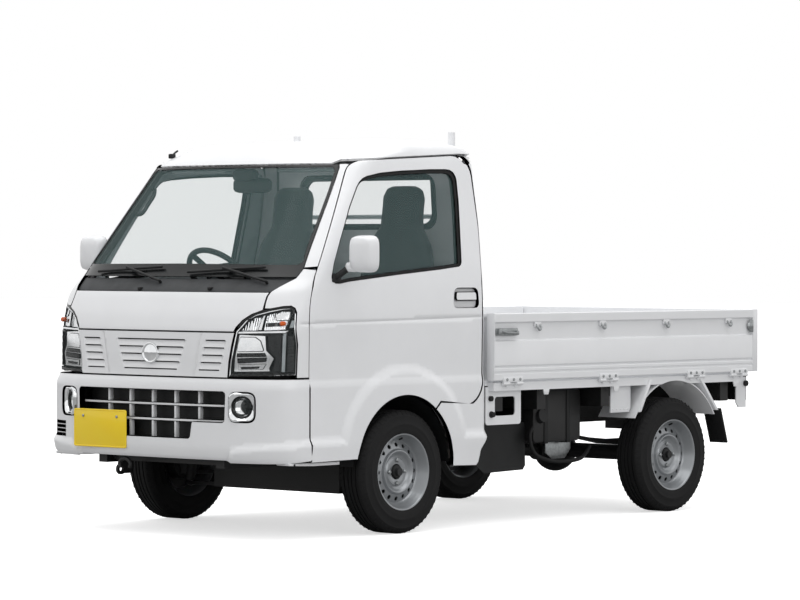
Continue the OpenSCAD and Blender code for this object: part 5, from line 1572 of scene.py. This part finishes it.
# The tailgate has the same section, turned to face the rear.
TAIL_X = -2553
tail_section = [(TAIL_X + 749 - y, z) for y, z in GATE_SECTION]
tail_sheet = pushed(tail_section, -729, 729, "y", 0)
tailgate = Piece("tailgate_panel", "tailgate", "body_paint", "tailgate").add(tail_sheet, BED_ENAMEL, 20)
for y in (-733, 727):
    tailgate.add(block((TAIL_X - 1, y, 648), (TAIL_X + 45, y + 6, 948), 1.5), BED_ENAMEL)
for y in (-480, 0, 480):
    tailgate.add(block((TAIL_X - 1, y - 60, 640), (TAIL_X + 5, y + 60, 664), 2), BED_ENAMEL)
    tailgate.add(tube([(TAIL_X + 3, y - 58, 634), (TAIL_X + 3, y - 20, 634)], 8, 14), BED_ENAMEL)
tailgate.make()

# %% [markdown]
# The load floor is a flat sheet with low ribs along it, so that cargo slides and water
# runs out. The ribs are one shape repeated across the bed.

# %% Load floor and underside details
RIB_COUNT, RIB_PITCH = 13, 104
floor_sheet = block((BED_REAR, -698, 626), (BED_FRONT - 42, 698, 648), 2)
rib = pushed([(-22, 647.5), (22, 647.5), (16, 650), (-16, 650)], BED_REAR + 20, BED_FRONT - 70, "x", 0)
ribs = repeated(moved(rib, (0, -624, 0)), RIB_COUNT, offset=(0, RIB_PITCH, 0), material=BED_ENAMEL)
Piece("load_floor", "chassis", "body_paint", "bed_floor").add(floor_sheet,
                                                              BED_ENAMEL).add(ribs, BED_ENAMEL).make()

house_front = pushed([(-1464, 478), (-1600, 478), (-1612, 498), (-1612, 602), (-1464, 602)], 690, 697, "y",
                     1.5)
rivet = moved(lathe([(0.5, 3), (4, 2.4), (6, 0), (0.5, 0)], 12), (-1480, 697, 494))
rivets = repeated(moved(rivet, (-112, 0, 0)), 5, offset=(28, 0, 0), material=BED_ENAMEL)
lip_front = pushed([(-1700, 626), (-1716, 626), (-1634, 478), (-1616, 478)], 640, 744, "y", 2)
lip_rear = pushed([(-2075, 630), (-2095, 630), (-2228, 470), (-2209, 470)], 640, 744, "y", 2)
flap = pushed([(-2240, 478), (-2252, 478), (-2306, 312), (-2296, 310)], 640, 742, "y", 1.5)
rail_tab = pushed([(-22, 604), (22, 604), (14, 578), (-14, 578)], 728, 734, "y", 1.5)
bed_trim = Piece("bed_trim", "chassis", "body_paint")
for shape in (house_front, rivets, lip_front, lip_rear):
    bed_trim.add_both(shape, BED_ENAMEL)
for x in (-955, -1460, -2380):
    bed_trim.add_both(moved(rail_tab, (x, 0, 0)), BED_ENAMEL)
bed_trim.make()
rear_stop = tube([(-2490, 704, 590), (-2490, 716, 590)], 14, 20)
plate_stop = tube([(-597, 704, 568), (-597, 716, 568)], 12, 20)
plate_fitting = tube([(-605, 704, 497), (-605, 722, 497)], [15, 11], 20)
Piece("mud_flaps_and_stops", "chassis", "black_plastic").add_both(flap, MUD_RUBBER).add_both(rear_stop,
                                                                                             RUBBER) \
    .add_both(plate_stop, RUBBER).add_both(plate_fitting, RUBBER).make()

# The black canister, bracket and hose that hang from the left rail.
tank_shell = pushed(rounded([(-1350, 352, 26), (-1010, 352, 20), (-1010, 592, 14), (-1350, 592, 20)], 5), 385,
                    611, "y", 8)
tank_strap = [block((x, 400, 346), (x + 26, 615, 356), 2) for x in (-1110, -1270)]
tank_strap += [block((x, 609, 350), (x + 26, 615, 590), 2) for x in (-1110, -1270)]
tank_cap = tube([(-1060, 600, 470), (-1060, 628, 476)], [34, 30], 28)
hanger = pushed([(-1331, 354), (-1151, 354), (-1151, 300), (-1200, 271), (-1290, 271), (-1331, 312)], 560,
                566, "y", 1.5)
hose = tube(curve_through([(-1020, 600, 430), (-990, 606, 380), (-1030, 606, 300), (-1180, 602, 262),
                           (-1360, 600, 268),
                           (-1480, 560, 320)], 8), 9, 12)
Piece("fuel_tank_shell", "chassis", "frame_paint", "fuel_tank").add(tank_shell, CHASSIS_BLACK) \
    .add(joined(*tank_strap), BLACK_PLASTIC).add(tank_cap,
                                                 BLACK_PLASTIC).add(hanger, ZINC).add(hose, RUBBER).make()

# %% [markdown]
# Tail lamps are one moulding in three colours, and the plates are pressed sheet with a
# raised rim and nothing on them.

# %% Tail lamps and plates
tail = Piece("rear_lamps", "chassis", "red_lens", "tail_lamps")
LAMP_FACE = BED_REAR - 34
tail.add_both(block((LAMP_FACE + 10, 470, 520), (BED_REAR - 10, 660, 600), 4), BLACK_PLASTIC)
for low, high, lens in ((473, 565, RED_LENS), (567, 615, AMBER_LENS), (617, 657, REVERSE_LENS)):
    tail.add_both(block((LAMP_FACE, low, 524), (LAMP_FACE + 12, high, 596), 4), lens)
tail.make()
PLATE_AT = (840, -293, 453)
plate = pushed(rounded([(-165, -82.5, 9), (165, -82.5, 9), (165, 82.5, 9), (-165, 82.5, 9)], 5), -1.2, 0, "x",
               0.5)
rim_outer = rounded([(-165, -82.5, 9), (165, -82.5, 9), (165, 82.5, 9), (-165, 82.5, 9)], 5)
rim_rings = [[(x, y * (1 - inset / 165), z * (1 - inset / 82.5)) for y, z in rim_outer]
             for x, inset in ((0, 0.5), (1.6, 2.5), (1.6, 5), (0, 7))]
plate_rim = softened(*loft(rim_rings, caps=(False, False)), 0)
screw = moved(softened(*lathe([(0.5, 3.2), (5, 3), (7, 1), (7, 0), (0.5, 0)], 6), 0), (0, 0, 0), FACING_FRONT)
plates = Piece("number_plate_blanks", "chassis", "plate_yellow", "number_plates")
plates.add(moved(plate, PLATE_AT), PLATE_YELLOW).add(moved(plate_rim, PLATE_AT), PLATE_YELLOW)
plates.add(block((810, -420, 400), (838, -360, 430), 3), BLACK_PLASTIC).add(block((810, -220, 400),
                                                                                  (838, -160, 430), 3),
                                                                                  BLACK_PLASTIC)
turn_back = Matrix.Rotation(math.pi, 4, "Z")
plates.add(moved(plate, (-2500, 0, 427), turn_back), PLATE_YELLOW).add(moved(plate_rim, (-2500, 0, 427),
                                                                             turn_back), PLATE_YELLOW)
plates.add(block((-2499, -165, 345), (-2496.5, 165, 509), 0.5), CHASSIS_BLACK)
for y in (-105, 105):
    plates.add(moved(screw, (841, -293 + y, 505)), ZINC)
plates.make()

# %% [markdown]
# ## Inside the cab
# Two padded seats with tall built-in head restraints are what shows most through the
# glass. Foam and cloth are best made by a short cloth simulation: the block is filled with
# a little pressure, it swells between its edges, and the result is kept as a mesh.

# %% Seats


def pillow(rings, name):
    """A closed pad through rings of points, remeshed and swollen by a cloth simulation."""
    shape = softened(*loft(rings), 0)
    mesh = bpy.data.meshes.new(name)
    mesh.from_pydata(metres(shape[0]), [], shape[1])
    pad = bpy.data.objects.new(name, mesh)
    bpy.context.scene.collection.objects.link(pad)
    modifiers = [pad.modifiers.new("remesh", "REMESH")]
    modifiers[0].mode, modifiers[0].voxel_size = "VOXEL", 0.009
    keep_modifiers(pad)
    before = np.array([v.co for v in pad.data.vertices])
    cloth = pad.modifiers.new("swell", "CLOTH")
    cloth.settings.use_pressure = True
    cloth.settings.uniform_pressure_force = 4
    cloth.settings.effector_weights.gravity = 0
    for step in range(1, 16):
        bpy.context.scene.frame_set(step)
    keep_modifiers(pad)
    after = np.array([v.co for v in pad.data.vertices])
    shift = after - before
    length = np.linalg.norm(shift, axis=1)[:, None]
    after = before + shift * np.minimum(1, SWELL_LIMIT / np.maximum(length, 1e-9))
    pad.data.vertices.foreach_set("co", after.ravel())
    bpy.context.scene.frame_set(1)
    smooth = pad.modifiers.new("finish", "SUBSURF")
    smooth.levels = smooth.render_levels = 1
    keep_modifiers(pad)
    pad.data.shade_smooth()
    return pad


def keep_modifiers(thing):
    """Bakes the modifiers into the mesh and removes them."""
    mesh = bpy.data.meshes.new_from_object(thing.evaluated_get(bpy.context.evaluated_depsgraph_get()))
    thing.modifiers.clear()
    thing.data = mesh


SWELL_LIMIT = 0.008


def section(x, z, half, thick, lean, power=4.0, steps=36):
    """A rounded rectangle across the seat: half wide in y, thick along the direction of lean."""
    ring = []
    for a in np.linspace(0, math.tau, steps, endpoint=False):
        c, s = math.cos(a), math.sin(a)
        r = (abs(c) ** power + abs(s) ** power) ** (-1 / power)
        ring.append((x + thick * r * s * math.cos(lean), half * r * c, z + thick * r * s * math.sin(lean)))
    return ring


cushion_rings = [section(x, z, half, thick, math.pi / 2) for x, z, half, thick in
                 ((-330, 800, 190, 34), (-322, 800, 212, 50), (-260, 797, 220, 56), (-120, 795, 224, 58),
                  (20, 797, 224, 58),
                  (110, 795, 222, 56), (160, 785, 214, 48), (176, 775, 196, 30))]
back_rings = [section(x, z, half, thick, 0.25) for x, z, half, thick in
              ((-330, 812, 196, 34), (-336, 830, 212, 46), (-352, 920, 218, 50), (-372, 1050, 218, 48),
               (-392, 1170, 208, 44), (-404, 1250, 184, 40), (-410, 1300, 150, 38), (-414, 1335, 122, 38),
               (-420, 1400, 116, 40), (-428, 1470, 112, 40), (-434, 1506, 96, 34), (-437, 1520, 70, 20))]
cushion = pillow(cushion_rings, "seat_cushion")
backrest = pillow(back_rings, "seat_backrest")
for side, y in (("left", 340), ("right", -340)):
    for pad, part in ((cushion, "cushion"), (backrest, "backrest")):
        copy = bpy.data.objects.new(f"seat_{part}_{side}", pad.data.copy())
        copy.data.transform(Matrix.Translation((0, y / 1000, 0)))
        copy.data.materials.clear()
        copy.data.materials.append(SEAT_CLOTH)
        bpy.context.scene.collection.objects.link(copy)
        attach(copy, "chassis")
        if part == "cushion" and side == "left":
            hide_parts("seats")
        TRIANGLES[copy.name] = sum(len(p.vertices) - 2 for p in copy.data.polygons)
for pad in (cushion, backrest):
    bpy.data.objects.remove(pad)
print("seat triangles:", {k: v for k, v in TRIANGLES.items() if k.startswith("seat")})

# %% [markdown]
# A few small things give a cab its depth behind the glass: the pillar grip, the mirror and
# its housing, the sun visors and the wheel.

# %% Cab fittings
grip = tube(curve_through([(330, -592, 1385), (322, -566, 1392), (296, -556, 1430), (262, -556, 1470),
                           (246, -566, 1498),
                           (240, -590, 1502)], 6), 9, 12)
mirror_stem = tube([(225, 0, 1560), (205, 0, 1530)], 6)
room_mirror = softened(*loft([rounded_box_ring((0, 1512), hy, hz, x) for x, hy, hz in
                              ((206, 96, 22), (202, 112, 32), (194, 116, 34), (188, 112, 31))]), 0)
housing = softened(*loft([rounded_box_ring((0, 1556), hy, hz, x) for x, hy, hz in
                          ((262, 40, 14), (256, 62, 24), (236, 70, 28), (226, 66, 24))]), 0)
visors = [block((120, y - 170, 1568), (205, y + 170, 1582), 6) for y in (-330, 330)]
Piece("cab_fittings", "chassis", "interior_plastic").add(grip, BLACK_PLASTIC).add(mirror_stem,
                                                                                  BLACK_PLASTIC) \
    .add(room_mirror, BLACK_PLASTIC).add(housing, BLACK_PLASTIC).add(joined(*visors), TRIM_PLASTIC).make()

# %% [markdown]
# ## Running gear
# The frame, axles, engine and pipes are right as they stand in the CAD model. They only
# need their finishes: waxed black paint, cast metal and aluminised steel.

# %% Finishes for the CAD parts
FINISHES = {"frame": CHASSIS_BLACK, "front_suspension": CHASSIS_BLACK, "rear_axle": CHASSIS_BLACK,
            "leaf_springs": CHASSIS_BLACK, "engine": CAST_METAL, "propeller_shaft": CHASSIS_BLACK,
            "exhaust": EXHAUST_STEEL, "battery_box": BLACK_PLASTIC, "side_shields": BLACK_PLASTIC,
            "cab_floor": CHASSIS_BLACK, "firewall": CHASSIS_BLACK, "steering_rods": CHASSIS_BLACK,
            "knuckle_left": CAST_METAL, "knuckle_right": CAST_METAL, "wipers": BLACK_PLASTIC,
            "dashboard": DASH_PLASTIC, "steering_wheel": BLACK_PLASTIC, "bed_frame": CHASSIS_BLACK,
            "bed_sills": BED_ENAMEL, "headboard": BED_ENAMEL, "rear_fenders": BED_ENAMEL}
for name, finish in FINISHES.items():
    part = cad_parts[name]
    if not part.material_slots:
        part.data.materials.append(finish)
    for slot in part.material_slots:
        slot.material = finish
print("finished CAD parts:", len(FINISHES))

# %% [markdown]
# ## Totals
# The script ends by printing how many triangles the pieces hold.

# %% Triangle count
print("triangles in pieces:", sum(TRIANGLES.values()))
